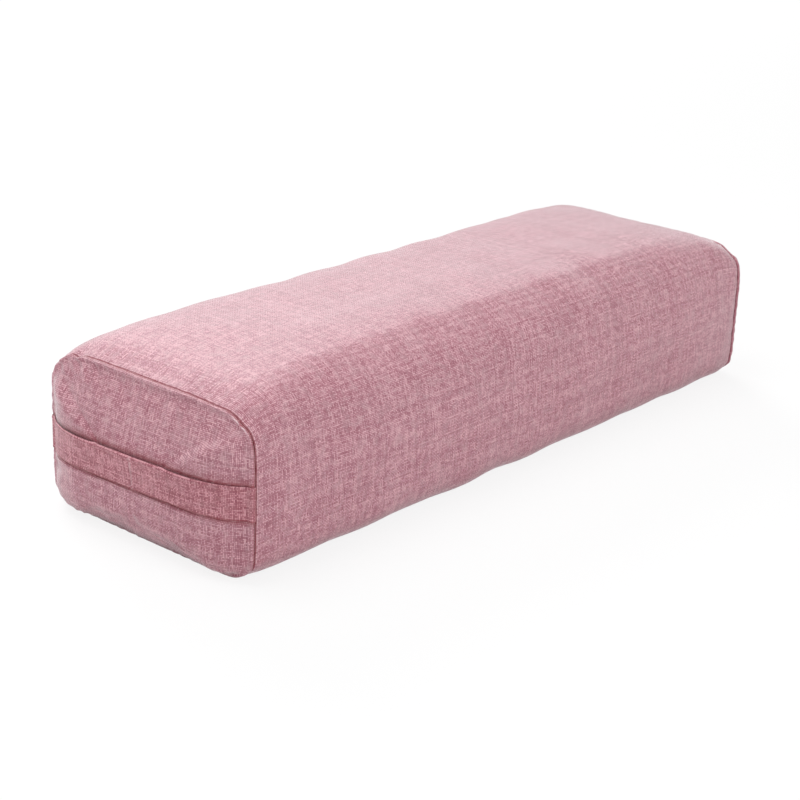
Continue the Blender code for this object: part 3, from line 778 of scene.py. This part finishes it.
def make_strap_half(end, end_side, material):
    """Half of the carry strap, from its sewn end to its middle: a folded band over the panel.

    Each point stands off the panel's form along its normal: the top edge furthest in the middle,
    and the whole band by its gap at the sewn end, where it rolls into the seam with the panel.
    """
    reach = end_width / 2 * panel_rings()[-1]
    y = end_side * steps_between(0, reach, fine_low=False, step=strap_step)[:, None]
    low_edge = -strap_half_width + strap_edge_steps
    across = np.concatenate([low_edge, np.linspace(-strap_flat_half, strap_flat_half, 9), -low_edge[::-1]])
    z = strap_middle(y) + across[None, :]
    y_grid = y + 0 * z
    points, from_seam = panel_form(-1, *end_place(y_grid, z))
    points = np.stack([points[..., 0], y_grid, z], axis=-1)
    carried = fold_form(from_seam) - strap_press(y, z, from_seam)
    points = points + strap_normals(points, end_side) * carried[..., None]
    normal = strap_normals(points, end_side)
    sheets = []
    for offset, end_share in zip(strap_faces(y, across[None, :], np.abs(y) / reach), (0.60, 0.05)):
        main = points + normal * offset[..., None]
        plane = -seam_half - 0.0004 + 0.0006 * end_share + 0 * main[-1, :, 0]
        sheets.append(np.concatenate([main, rolled_rim(main[-1], normal[-1], plane, 1, strap_tuck)]))
    loop = np.concatenate([sheets[0], sheets[1][:, ::-1]], axis=1)
    girth_place = np.concatenate([across, strap_fold + across])[None, :] + 0 * loop[..., 0]
    cloth = paired(lengths_down(loop) * end_side, girth_place)
    piece = surface_piece(f"strap_{end}_half", loop, cloth, material, around=True, flip=end_side < 0,
                          poles=(0, -1), flat_poles=True, painted_shading=strap_painted_shading(loop, across, from_seam))
    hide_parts("handle_strap")
    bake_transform(piece)


def zip_point(u, w, out):
    """A place in the zip's own plane: u along the chain, w up across it and out from the bolster."""
    u, w, out = np.broadcast_arrays(u, w, out)
    cosine, sine = math.cos(math.atan(zip_lean)), math.sin(math.atan(zip_lean))
    y = zip_middle_y + sine * w + cosine * out
    z = zip_height + cosine * w - sine * out
    return np.stack([-u, y, z], axis=-1)


def zip_spread(u):
    """How far the slider leads each side of the chain from its middle: half a cosine wave."""
    return spread_most * (1 + np.cos(np.pi * np.clip((spread_start - u) / spread_length, 0, 1))) / 2


def make_tape(which, side, material):
    """One woven tape of the zip, from beside its teeth to its outer edge."""
    bend = spread_start - spread_length * np.linspace(0, 1, 9)
    straight = np.linspace(-tape_end, bend_low, 150), np.linspace(bend_high, tape_end, 5)
    u = np.sort(np.concatenate([*straight, bend]))
    v = np.concatenate([np.linspace(0, selvedge, 5), np.linspace(0.0018, tape_width - selvedge, 14),
                        np.linspace(tape_width - 0.0009, tape_width, 4)])
    u, v = grid_of(u, v)
    w = side * (tape_inner + v + zip_spread(u) * (1 - v / tape_width))
    points = zip_point(u, w, 0.00004 * drift(61 + side, u, v, 0.02, 0.06))
    piece = surface_piece(f"zip_tape_{which}_woven", points, paired(u, v), material, flip=side < 0,
                          thickness=tape_cloth, wall_offset=0)
    seat(piece, f"zip_tape_{which}")


def wrap_spot(x, from_edge, upper):
    """Points and outward normals of the finished wrap at a distance from the slot's edge."""
    place = []
    for step_x, step_edge in ((0, 0), (0.0002, 0), (0, 0.0002)):
        here = x + step_x
        share = np.where(upper, from_edge + step_edge, girth - from_edge - step_edge) / girth
        moved, along = slot_place(here, share)
        points = wrap_points(here, moved)
        points[..., 1] += wrap_relief(here, moved, along)
        place.append(points)
    normal = unit(np.cross(place[1] - place[0], place[2] - place[0]))
    return place[0], normal * np.sign(normal[..., 1:2])


def make_zip_stitching(material):
    """Stitches round the zip's slot: each a short rod with tapered ends, bowed a little outwards."""
    ticks = np.array([0, 0.12, 0.5, 0.88, 1.0])
    bow = np.array([-0.00020, 0.00003, 0.00012, 0.00003, -0.00020])
    size = np.array([0.35, 0.9, 1.0, 0.9, 0.35]) * thread_radius
    last = slot_half_length + 0.0010
    starts = np.arange(-last, last - topstitch_length, topstitch_pitch)[:, None]
    x = starts + ticks * topstitch_length
    spots = [wrap_spot(x, topstitch_place + 0 * x, upper) for upper in (True, False)]
    starts = np.arange(-slot_half_height, slot_half_height - 0.002, topstitch_pitch)[:, None]
    height = starts + ticks * topstitch_length
    for end in (-1, 1):
        for row in (1, 2):
            x = end * (slot_half_length + topstitch_row * row) + 0 * height
            spots.append(wrap_spot(x, np.abs(height), height > 0))
    spots, normals = (np.concatenate(parts) for parts in zip(*spots))
    centre = spots + normals * bow[None, :, None]
    sideways = np.cross(unit(np.gradient(centre, axis=1)), normals)
    angle = np.arange(6) * np.pi / 3
    ring = np.cos(angle)[:, None] * normals[..., None, :] + np.sin(angle)[:, None] * sideways[..., None, :]
    points = centre[..., None, :] + ring * size[None, :, None, None]
    corners = 5 * 6
    first = corners * np.arange(len(points))[:, None, None]
    faces = (np.array(grid_faces(5, 6, around=True)) + first).reshape(-1, 4)
    caps = (np.stack([np.arange(6), np.arange(corners - 6, corners)[::-1]]) + first).reshape(-1, 6)
    place = paired(*grid_of(ticks * topstitch_length, angle * thread_radius)) + 0 * points[..., :2]
    made = mesh_object("zip_topstitching", points.reshape(-1, 3), faces.tolist() + caps.tolist(),
                       place.reshape(-1, 2))
    made.data.materials.append(material)
    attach(made, "root")


def zip_room(points, step):
    """Points of an inner layer, kept clear of the zip's room by a step along the side."""
    above = points[..., 2] - zip_height
    limit = np.interp(above, room_depths, room_planes) + zip_lean * above - step
    over = np.maximum(points[..., 1] - limit, 0)
    points[..., 1] -= over * (1 - smooth((np.abs(points[..., 0]) - room_half) / 0.030))
    return points


def layer_points(x, share, depth, room_step):
    """An inner layer's points: the wrap's form at a depth, kept clear of the long seam and the zip."""
    points = wrap_points(x, share, depth + 0.0013 * bell(from_long_seam(share), 0.004))
    points[..., 2] = np.maximum(points[..., 2], depth)
    return zip_room(points, room_step)


def layer_grid(last, step):
    """Even places along and round an inner layer."""
    return grid_of(np.linspace(-last, last, int(2 * last / step) + 1),
                   np.linspace(0, 1, int(girth / step) + 1)[:-1])


def inner_dome(side, depth, start, bulge):
    """Points of an inner end: the panel's form at a depth inside the seam's loop, with less bulge."""
    rings = np.concatenate([np.linspace(0.05, 0.85, 14), np.linspace(0.88, 1, 9)])
    ring, share = grid_of(rings, np.linspace(0, 1, 121)[:-1])
    turn = turn_at(seam_half, share)
    loop = section(seam_half, turn, depth + seam_draw(side, share, 0 * share))
    out = seam_half + start + bulge * (1 - ring ** bulge_exponent(turn, ring))
    points = drawn_in(loop, ring, side * out)
    points[..., 0] += side * np.minimum(settled_panel(side, ring, share), 0)
    return points, (points[..., 1:] - end_middle) * np.array([-side, 1])


def sunk_depth(x, depth, start, reach):
    """An inner layer's depth at x: its own along the middle, and a soft step deeper at both ends."""
    return depth + (case_end_depth - case_depth) * smooth((np.abs(x) - start) / reach)


def make_case(material):
    """The inner case: a tube and two domed ends of thin cotton."""
    x, share = layer_grid(seam_half, case_step)
    points = layer_points(x, share, sunk_depth(x, case_depth, 0.300, 0.018), 0.0)
    tube = surface_piece("inner_case_tube", points, paired(x, share * girth), material,
                         around=True, thickness=case_cloth)
    seat(tube, "inner_case_wrap")
    for end, side in ends:
        points, cloth = inner_dome(side, case_end_depth, layer_gap, case_dome)
        piece = surface_piece(f"inner_case_panel_{end}", points, cloth, material, around=True,
                              flip=side > 0, poles=(0,), thickness=case_cloth)
        seat(piece, f"inner_case_end_{end}")


def make_wadding(material):
    """The wadding: a thick tube round the foam block, and a domed pad that fills each end."""
    x, share = layer_grid(core_half, wadding_step)
    depth = sunk_depth(x, wadding_depth, 0.295, 0.016)
    outer = layer_points(x, share, depth, wadding_depth - case_depth)
    inner = layer_points(x, share, core_depth - layer_gap, foam_room_step - layer_gap)
    cloth = paired(x, share * girth)
    points, cloth = np.concatenate([outer, inner[::-1]]), np.concatenate([cloth, cloth[::-1]])
    tube = surface_piece("wadding_tube", points, cloth, material, around=True, closed=True)
    seat(tube, "wadding_wrap")
    for end, side in ends:
        points, cloth = inner_dome(side, case_end_depth + case_cloth + layer_gap, 0.0, pad_dome)
        back = [drawn_in(points[-1:], size, side * (core_half + layer_gap)) for size in pad_back]
        points = np.concatenate([points] + back)
        cloth = np.concatenate([cloth] + [cloth[-1:]] * len(back))
        piece = surface_piece(f"wadding_pad_{end}", points, cloth, material, around=True,
                              flip=side > 0, poles=(0, -1))
        seat(piece, f"wadding_end_{end}")


def make_foam(material):
    """The foam block, with flat ends and softly rounded edges there."""
    x, share = layer_grid(core_half - foam_edge, foam_step)
    points = layer_points(x, share, core_depth, foam_room_step)
    near, far = ([drawn_in(row, size, side * (core_half - foam_edge + inset)) for inset, size in foam_rows]
                 for side, row in ((-1, points[:1]), (1, points[-1:])))
    points = np.concatenate(near[::-1] + [points[1:-1]] + far)
    piece = surface_piece("foam_block", points, points[..., :2], material, around=True, poles=(0, -1))
    seat(piece, "foam_core")


def blurred(field, reach):
    """A field blurred by a bell curve, mirrored at its first and last rows, its columns joined round."""
    mirrored = np.concatenate([field[::-1], field, field[::-1]])
    row_waves = np.fft.fftfreq(mirrored.shape[0])[:, None]
    column_waves = np.fft.fftfreq(mirrored.shape[1])[None, :]
    gain = np.exp(-2 * np.pi**2 * ((row_waves * reach) ** 2 + (column_waves * reach) ** 2))
    return np.fft.ifft2(np.fft.fft2(mirrored) * gain).real[len(field): 2 * len(field)]


def simulated(skin):
    """A closed skin's points after its filling: a cloth simulation with pressure, held by its group."""
    filling = skin.modifiers.new("filling", "CLOTH")
    for key, value in dict(quality=6, use_pressure=True, uniform_pressure_force=4, shrink_min=-0.012,
                           bending_stiffness=0.4, vertex_group_mass="held").items():
        setattr(filling.settings, key, value)
    filling.settings.effector_weights.gravity = 0
    filling.collision_settings.use_collision = False
    scene = bpy.context.scene
    for number in range(1, 21):
        scene.frame_set(number)
    filled = skin.evaluated_get(bpy.context.evaluated_depsgraph_get())
    flat = np.zeros(3 * len(filled.data.vertices))
    filled.data.vertices.foreach_get("co", flat)
    bpy.data.objects.remove(skin)
    scene.frame_set(1)
    return flat.reshape(-1, 3)


def settle_cover(material):
    """Fills the cover with a cloth simulation, and keeps how far it moves the cloth along its normal.

    The cover is one closed skin, held at its seams, at the zip and on the floor, and a little larger
    than its form. The broad swelling is already in the form, so only the finer movement is kept: the
    wrap's less its own blur, and a panel's less the best cubic surface through it.
    """
    shares = np.arange(settle_columns) / settle_columns
    panel_grid = grid_of(np.linspace(0, 1, 14)[1:-1], shares)
    near, far = (panel_form(side, *panel_grid)[0] for side in (-1, 1))
    wrap = wrap_points(*grid_of(np.linspace(-seam_half, seam_half, settle_rows), shares))
    points = np.concatenate([near, wrap, far[::-1]])
    outward = -normals_of(points, around=True)
    skin = surface_piece("filled_cover", points, points[..., :2], material, around=True, poles=(0, -1))
    main = slice(len(near), len(points) - len(far))
    held = np.clip(1 - points[..., 2] / floor_hold, 0, 1) * 0.9
    held[main.start] = held[main.stop - 1] = 1
    held[main] = np.maximum(held[main], from_long_seam(shares) < zip_hold)
    group = skin.vertex_groups.new(name="held")
    for level in np.linspace(0.1, 1.0, 10):
        members = np.nonzero(np.round(held.ravel(), 1) == np.round(level, 1))[0]
        group.add(members.tolist(), float(level), "REPLACE")
    moved = simulated(skin)[: held.size].reshape(points.shape) - points
    out = settle_cap * np.tanh((moved * outward).sum(axis=-1) / settle_cap)
    fine = blurred(out[main], fine_blur) - blurred(out[main], broad_blur)
    settled["wrap"] = np.concatenate([fine, fine[:, :1]], axis=1)
    for side, part, form in ((-1, out[: len(near)], near), (1, out[::-1][: len(far)], far)):
        y, z = form[..., 1].ravel() / end_width, (form[..., 2].ravel() - end_height / 2) / end_height
        terms = np.stack([y**i * z**j for i in range(4) for j in range(4 - i)], axis=1)
        broad = terms @ np.linalg.lstsq(terms, part.ravel(), rcond=None)[0]
        fine = part - broad.reshape(part.shape)
        fine = np.concatenate([fine[:1] * 0 + fine[0].mean(), fine, fine[:1] * 0])
        settled[side] = np.concatenate([fine, fine[:, :1]], axis=1)


def node(tree, kind, *values, out=0, **settings):
    """A shader node with its settings and its first inputs' values or links; gives one output."""
    made = tree.nodes.new("ShaderNode" + kind)
    for key, value in settings.items():
        setattr(made, key, value)
    for socket, value in zip(made.inputs, values):
        if isinstance(value, bpy.types.NodeSocket):
            tree.links.new(value, socket)
        elif value is not None:
            socket.default_value = value
    return made.outputs[out]


def calc(operation, *values):
    """A Math node's result, in the tree of its first value that is a socket."""
    sockets = [value for value in values if isinstance(value, bpy.types.NodeSocket)]
    return node(sockets[0].id_data, "Math", *values, operation=operation)


plus, minus, times = (partial(calc, name) for name in ("ADD", "SUBTRACT", "MULTIPLY"))
times_plus = partial(calc, "MULTIPLY_ADD")


def noise(place, scale, detail, rough=0.5, ways="3D", out=0):
    """Noise at a place, its scale, detail and roughness."""
    return node(place.id_data, "TexNoise", place, None, scale, detail, rough, out=out, noise_dimensions=ways)


def ranged(value, *limits):
    """A value from between its two limits, carried over to between two others."""
    return node(value.id_data, "MapRange", value, *limits)


def clamped(value):
    """A value kept within 0 and 1."""
    return node(value.id_data, "Clamp", value)


def axes(place):
    """A place's three coordinates."""
    return node(place.id_data, "SeparateXYZ", place).node.outputs


def joined(x, y, z=0.0):
    """A place from its coordinates."""
    return node(x.id_data, "CombineXYZ", x, y, z)


def stretched(place, scale):
    """A place scaled differently along each axis."""
    return node(place.id_data, "Mapping", place, None, None, scale)


def blend_colour(share, first, second):
    """One colour mixed towards another by a share."""
    return node(share.id_data, "Mix", share, *[None] * 5, first, second, out=2, data_type="RGBA")


tone_names = ("Deep", "Middle", "Pale", "Grey")
fleck_length = 6.0


def yarn_set(across, down, number):
    """One set of yarns: each yarn's number, its fleck tone along its length and its round crown."""
    index = calc("FLOOR", across)
    spot = joined(times_plus(index, 7.31, number), calc("DIVIDE", down, fleck_length))
    fleck = noise(spot, 1.0, 3.0, 0.7, "2D")
    own = node(index.id_data, "TexWhiteNoise", None, plus(index, number), noise_dimensions="1D")
    tone = times_plus(minus(own, 0.5), 0.20, fleck)
    return index, tone, calc("SINE", times(calc("FRACT", across), math.pi))


def make_weave_group():
    """Melange plain weave: two sets of yarns, flecked in a deep, a middle and a pale tone.

    At each crossing one yarn shows most and the one below it a little, by turns. The
    tone is its fleck, with painted shade in the pits between the yarns and painted highlight on
    their crowns, with broad blotches and dull patches.
    """
    group = bpy.data.node_groups.new("melange_weave", "ShaderNodeTree")
    amounts = {"Yarn": 0.0013, "Fleck": 1.0, "Pits": 1.0, "Blotch": 0.12, "Slub": 0.3}
    kinds = {"Cloth": "Vector", **dict.fromkeys(amounts, "Float"), **dict.fromkeys(tone_names, "Color")}
    for name, kind in kinds.items():
        socket = group.interface.new_socket(name, in_out="INPUT", socket_type="NodeSocket" + kind)
        if name in amounts:
            socket.default_value = amounts[name]
    for name, kind in (("Colour", "Color"), ("Height", "Float")):
        group.interface.new_socket(name, in_out="OUTPUT", socket_type="NodeSocket" + kind)
    given, result = group.nodes.new("NodeGroupInput").outputs, group.nodes.new("NodeGroupOutput").inputs
    cloth = given["Cloth"]
    place, stray = axes(cloth), axes(noise(cloth, 60.0, 2.0, ways="2D", out=1))
    a, b = (times_plus(stray[way], 0.7, calc("DIVIDE", place[way], given["Yarn"])) for way in (0, 1))
    warp_index, warp, warp_crown = yarn_set(a, b, 3.7)
    weft_index, weft, weft_crown = yarn_set(b, a, 91.3)
    by_turns = times(minus(calc("PINGPONG", plus(warp_index, weft_index), 1.0), 0.5), 0.7)
    lead = noise(joined(times(a, 0.45), times(b, 0.26)), 1.0, 1.0, 0.5, "2D")
    on_top = clamped(plus(times_plus(minus(lead, 0.5), 0.8, by_turns), 0.5))
    tone = node(group, "Mix", on_top, None, weft, warp)
    along = node(group, "Mix", on_top, None, warp_crown, weft_crown)
    crown = node(group, "Mix", on_top, None, weft_crown, warp_crown)
    height = times(crown, times_plus(along, 0.45, 0.55))
    fine = [times(place[way], 520.0) for way in (0, 1)]
    slow = [times(place[way], 75.0) for way in (0, 1)]
    slub_across = noise(joined(fine[0], slow[1]), 1.0, 1.0, 0.5, "2D")
    slub_along = noise(joined(slow[0], fine[1], 5.0), 1.0, 1.0, 0.5)
    tone = times(minus(tone, 0.5), times(given["Fleck"], 2.0))
    tone = times_plus(minus(noise(cloth, 70.0, 3.0, 0.55, "2D"), 0.5), given["Blotch"], tone)
    tone = times_plus(minus(plus(slub_across, slub_along), 1.0), given["Slub"], tone)
    # Painted shade in the pits between the yarns and painted highlight on their crowns, by the yarns' height
    tone = plus(plus(tone, times(minus(height, 0.62), given["Pits"])), 0.5)
    colour = blend_colour(clamped(times(tone, 2.0)), given["Deep"], given["Middle"])
    colour = blend_colour(clamped(times_plus(tone, 2.0, -1.0)), colour, given["Pale"])
    dull = ranged(noise(cloth, 110.0, 2.0, 0.6, "2D"), 0.48, 0.70, 0.0, 0.35)
    group.links.new(blend_colour(dull, colour, given["Grey"]), result["Colour"])
    group.links.new(height, result["Height"])
    return group


def new_material(name, roughness, metallic=0.0):
    """A material with a Principled shader; gives the material, its tree and the shader's inputs."""
    made = bpy.data.materials.new(name)
    made.use_nodes = True
    given = made.node_tree.nodes["Principled BSDF"].inputs
    given["Roughness"].default_value = roughness
    given["Metallic"].default_value = metallic
    return made, made.node_tree, given


def dressed(material, colour, height, strength, distance, sheen=0.0, roughness=None):
    """A new material with its colour, its raised height, its share of sheen and its roughness."""
    made, tree, given = material
    tree.links.new(colour, given["Base Color"])
    if roughness is not None:
        tree.links.new(roughness, given["Roughness"])
    bump = tree.nodes.new("ShaderNodeBump")
    bump.inputs["Strength"].default_value = strength
    bump.inputs["Distance"].default_value = distance
    tree.links.new(height, bump.inputs["Height"])
    tree.links.new(bump.outputs[0], given["Normal"])
    given["Sheen Weight"].default_value = sheen
    return made


def object_place(material):
    """Object coordinates of the piece, in a new material."""
    made, tree, given = material
    return tree.nodes.new("ShaderNodeTexCoord").outputs["Object"]


def cloth_place(material):
    """The piece's own places on its flat cloth, in metres, in a new material."""
    made, tree, given = material
    return node(tree, "UVMap", uv_map="cloth")


def woven_cloth(name, weave, colours, sheen, **values):
    """Woven cloth: the weave's colour and height, with painted shade in seams and under edges, painted
    highlight on crests, and soft sheen.
    """
    material = made, tree, given = new_material(name, 0.62)
    group = tree.nodes.new("ShaderNodeGroup")
    group.node_tree = weave
    tree.links.new(cloth_place(material), group.inputs["Cloth"])
    for socket, value in values.items():
        group.inputs[socket].default_value = value
    for socket, colour in zip(tone_names, colours):
        group.inputs[socket].default_value = (*colour, 1)
    # Painted shade: towards a dark red from the deep tone where the painted shading is above 0, in seams and
    # under the strap's edges; painted highlight: towards a pale tone where it is below 0, on folds' crests
    painted_shading = node(tree, "Attribute", attribute_name="painted_shading").node.outputs["Fac"]
    shaded = [0.80 * colours[0][0], 0.26 * colours[0][1], 0.26 * colours[0][2], 1]
    crest = [0.5 + 0.5 * tone for tone in colours[2]] + [1]
    colour = blend_colour(clamped(painted_shading), group.outputs["Colour"], shaded)
    colour = blend_colour(clamped(times(painted_shading, -1.0)), colour, crest)
    weight, spread, tint = sheen
    given["Specular IOR Level"].default_value = cloth_gloss
    given["Sheen Roughness"].default_value = spread
    given["Sheen Tint"].default_value = (*tint, 1)
    return dressed(material, colour, group.outputs["Height"], 0.6, 0.0004, weight)


def fibre_wadding(name):
    """White wadding: crimped fibres that lie along the layer, with soft lumps."""
    material = new_material(name, 1.0)
    place = object_place(material)
    along, across = (noise(stretched(place, scale), 1.0, 4.0, 0.7)
                     for scale in ((160, 900, 900), (900, 160, 700)))
    fibres = calc("MAXIMUM", along, across)
    height = times_plus(noise(place, 60.0, 3.0), 1.5, fibres)
    colour = blend_colour(ranged(fibres, 0.42, 0.72), (0.70, 0.69, 0.66, 1), (0.88, 0.87, 0.84, 1))
    return dressed(material, colour, height, 0.7, 0.0008, sheen=0.5)


def open_foam(name):
    """Cream foam: cells of about a millimetre with painted shade in their pits, a little yellower in places.
    """
    material = new_material(name, 0.95)
    place = object_place(material)
    cells = node(place.id_data, "TexVoronoi", place, None, 950.0, feature="F1")
    # Darker where the cells are low: painted shade in the foam's pits
    share = ranged(cells, 0.15, 0.75, 1.0, 0.0)
    colour = blend_colour(share, (0.62, 0.54, 0.36, 1), (0.80, 0.72, 0.52, 1))
    yellow = ranged(noise(place, 14.0, 3.0), 0.4, 0.7, 0.0, 0.3)
    return dressed(material, blend_colour(yellow, colour, (0.82, 0.68, 0.40, 1)), share, 0.6, 0.0005)


def ribbed_tape(name):
    """Zip tape: fine ribs across it, woven over long cords."""
    material = new_material(name, 0.8)
    cloth = cloth_place(material)
    rib, cord = (calc("SINE", times(way, 2 * math.pi / spacing))
                 for way, spacing in zip(axes(cloth), (0.00062, 0.0011)))
    height = times_plus(cord, 0.6, rib)
    grain = noise(stretched(cloth, (400, 1600, 1)), 1.0, 3.0, 0.6)
    # The colour follows the ribs' and cords' height as well as the grain: painted shade in their valleys
    share = ranged(times_plus(grain, 1.6, height), -0.6, 2.0)
    colour = blend_colour(share, (0.30, 0.125, 0.16, 1), (0.58, 0.33, 0.38, 1))
    return dressed(material, colour, height, 0.5, 0.0002, sheen=0.35)


def moulded_plastic(name):
    """Rose moulded teeth: satin plastic with faint flow marks in its colour and roughness."""
    material = new_material(name, 0.4)
    place = object_place(material)
    flow = noise(stretched(place, (300, 900, 900)), 1.0, 3.0, 0.6)
    colour = blend_colour(flow, (0.46, 0.22, 0.27, 1), (0.58, 0.34, 0.39, 1))
    return dressed(material, colour, noise(place, 3500.0, 2.0), 0.25, 0.0001,
                   roughness=ranged(flow, 0.3, 0.7, 0.32, 0.48))


def satin_nickel(name):
    """Die-cast nickel: fine tumbling marks, darker and lighter in patches, and brighter where fingers rub it.
    """
    material = new_material(name, 0.3, metallic=1.0)
    place = object_place(material)
    marks = noise(stretched(place, (500, 2600, 2600)), 1.0, 3.0, 0.7)
    worn = ranged(noise(place, 160.0, 2.0), 0.50, 0.66, 0.0, 0.8)
    colour = blend_colour(noise(place, 420.0, 3.0, 0.6), (0.50, 0.48, 0.45, 1), (0.68, 0.66, 0.63, 1))
    colour = blend_colour(worn, colour, (0.80, 0.78, 0.75, 1))
    return dressed(material, colour, marks, 0.15, 0.00008, roughness=ranged(marks, 0.3, 0.7, 0.22, 0.40))


def twisted_thread(name):
    """Sewing thread: three twisted strands, with painted highlight on their crowns and painted shade between
    them.
    """
    material = new_material(name, 0.6)
    along, round_it = axes(cloth_place(material))[:2]
    twist = times_plus(round_it, 3 / thread_radius, times(along, 2 * math.pi / 0.00045))
    strand = times_plus(calc("SINE", twist), 0.5, 0.5)
    # Lighter on the strands' crowns and darker between them: painted highlight and painted shade
    colour = blend_colour(strand, (0.42, 0.16, 0.21, 1), (0.70, 0.42, 0.47, 1))
    return dressed(material, colour, strand, 0.5, 0.0001, sheen=0.3)


surround_strength = 0.46
floor_shadow_share = 0.14
lamps = [
    ("top_softbox", (-0.40, 0.28, 1.30), 0.9, 10.9),
    ("back_softbox", (2.60, 4.90, 2.70), 3.0, 295.0),
    ("front_softbox", (0.10, -1.90, 0.70), 1.2, 12.0),
    ("end_softbox", (-2.10, -0.25, 0.60), 1.2, 2.3),
]


def make_stage():
    """A white floor that keeps a faint shadow, white surroundings and soft lamps."""
    bpy.ops.mesh.primitive_plane_add(size=14, location=(0, 0, -0.0004))
    floor = bpy.context.object
    floor.name = "studio_floor"
    made, tree, given = new_material("studio_white", 0.9)
    given["Base Color"].default_value = (0.90, 0.90, 0.90, 1)
    given["Specular IOR Level"].default_value = 0.1
    seen = tree.nodes.new("ShaderNodeLightPath").outputs["Is Camera Ray"]
    lit = tree.nodes["Principled BSDF"].outputs[0]
    mixed = node(tree, "MixShader", times(seen, 1 - floor_shadow_share), lit, node(tree, "Emission"))
    tree.links.new(mixed, tree.nodes["Material Output"].inputs["Surface"])
    floor.data.materials.append(made)

    world = bpy.data.worlds.new("studio")
    bpy.context.scene.world = world
    world.use_nodes = True
    tree = world.node_tree
    background = tree.nodes["Background"]
    background.inputs["Color"].default_value = (1, 1, 1, 1)
    path = tree.nodes.new("ShaderNodeLightPath")
    seen = calc("MAXIMUM", path.outputs["Is Camera Ray"], path.outputs["Is Glossy Ray"])
    strength = times_plus(seen, 1 - surround_strength, surround_strength)
    tree.links.new(strength, background.inputs["Strength"])
    for name, place, size, power in lamps:
        lamp = bpy.data.lights.new(name, "AREA")
        lamp.size = size
        lamp.energy = power
        in_scene(name, lamp).matrix_world = facing_from(place, np.array(place) - [0, 0, mid_height / 2])


def facing_from(place, back, roll=0.0):
    """A matrix at a place that looks against back, turned about it by a roll."""
    back = unit(np.array(back))
    right = unit(np.cross([0, 0, 1], back))
    up = np.cross(back, right)
    turned_right = math.cos(roll) * right + math.sin(roll) * up
    turned_up = math.cos(roll) * up - math.sin(roll) * right
    matrix = np.identity(4)
    matrix[:3] = np.stack([turned_right, turned_up, back, place], axis=1)
    return Matrix(matrix)


def make_camera():
    """The photograph's camera, fitted to the bolster's seams and outline."""
    azimuth, elevation, roll = (math.radians(v) for v in (-49.766, 20.716, 2.235))
    back = (math.sin(azimuth) * math.cos(elevation), -math.cos(azimuth) * math.cos(elevation),
            math.sin(elevation))
    data = bpy.data.cameras.new("camera")
    data.lens = 83.16
    data.sensor_width = 36
    made = in_scene("camera", data)
    made.matrix_world = facing_from((-1.18311, -0.96810, 0.60558), back, roll)
    bpy.context.scene.camera = made


# The cloths' gloss, their deep, middle, pale and grey tones, and their sheen: weight, roughness, tint
cloth_gloss = 0.48
rose_tones = ((0.325, 0.108, 0.146), (0.510, 0.225, 0.272), (0.715, 0.430, 0.475), (0.490, 0.295, 0.322))
# The strap's tones: the rose cloth painted darker and redder, as painted shade on the strap
strap_shaded_tones = ((0.285, 0.070, 0.098), (0.480, 0.170, 0.208), (0.680, 0.345, 0.385), (0.460, 0.230, 0.250))
cotton_tones = ((0.66, 0.65, 0.61), (0.78, 0.77, 0.74), (0.86, 0.85, 0.83), (0.74, 0.73, 0.70))
rose_sheen = (1.0, 0.29, (1, 0.98, 0.99))
strap_sheen = (0.35, 0.35, (1, 0.90, 0.92))
cotton_sheen = (0.3, 0.4, (1, 1, 1))


def main():
    """Makes the stage and every piece, and gives the zip's kept CAD nodes their materials."""
    bpy.context.scene.view_settings.view_transform = "Standard"
    make_camera()
    make_stage()
    weave = make_weave_group()
    linen = woven_cloth("rose_melange", weave, rose_tones, rose_sheen,
                        Fleck=1.6, Pits=1.2, Slub=0.15, Blotch=0.08)
    # The strap's cloth: a copy of the rose cloth in painted shade
    strap_shaded_linen = woven_cloth("rose_melange_strap_shaded", weave, strap_shaded_tones, strap_sheen,
                              Fleck=2.1, Pits=1.4, Slub=0.15, Blotch=0.08)
    cotton = woven_cloth("case_cotton", weave, cotton_tones, cotton_sheen, Yarn=0.0005, Pits=0.5, Slub=0.3)
    settle_cover(linen)
    make_wrap(linen)
    for end, side in ends:
        make_panel(end, side, linen)
    for end, side in (("front", -1), ("back", 1)):
        make_strap_half(end, side, strap_shaded_linen)
    tape = ribbed_tape("rose_zip_tape_ribs")
    for which, side in (("upper", 1), ("lower", -1)):
        make_tape(which, side, tape)
    make_zip_stitching(twisted_thread("rose_thread"))
    make_case(cotton)
    make_wadding(fibre_wadding("white_fibre_wadding"))
    make_foam(open_foam("cream_open_foam"))
    teeth, nickel = moulded_plastic("rose_moulded_teeth"), satin_nickel("satin_nickel")
    moulded = ("teeth_upper", "teeth_lower", "top_stop_upper", "top_stop_lower", "bottom_stop")
    for name in moulded + ("slider", "pull"):
        for slot in bpy.data.objects["zip_" + name].material_slots:
            slot.material = teeth if name in moulded else nickel


main()
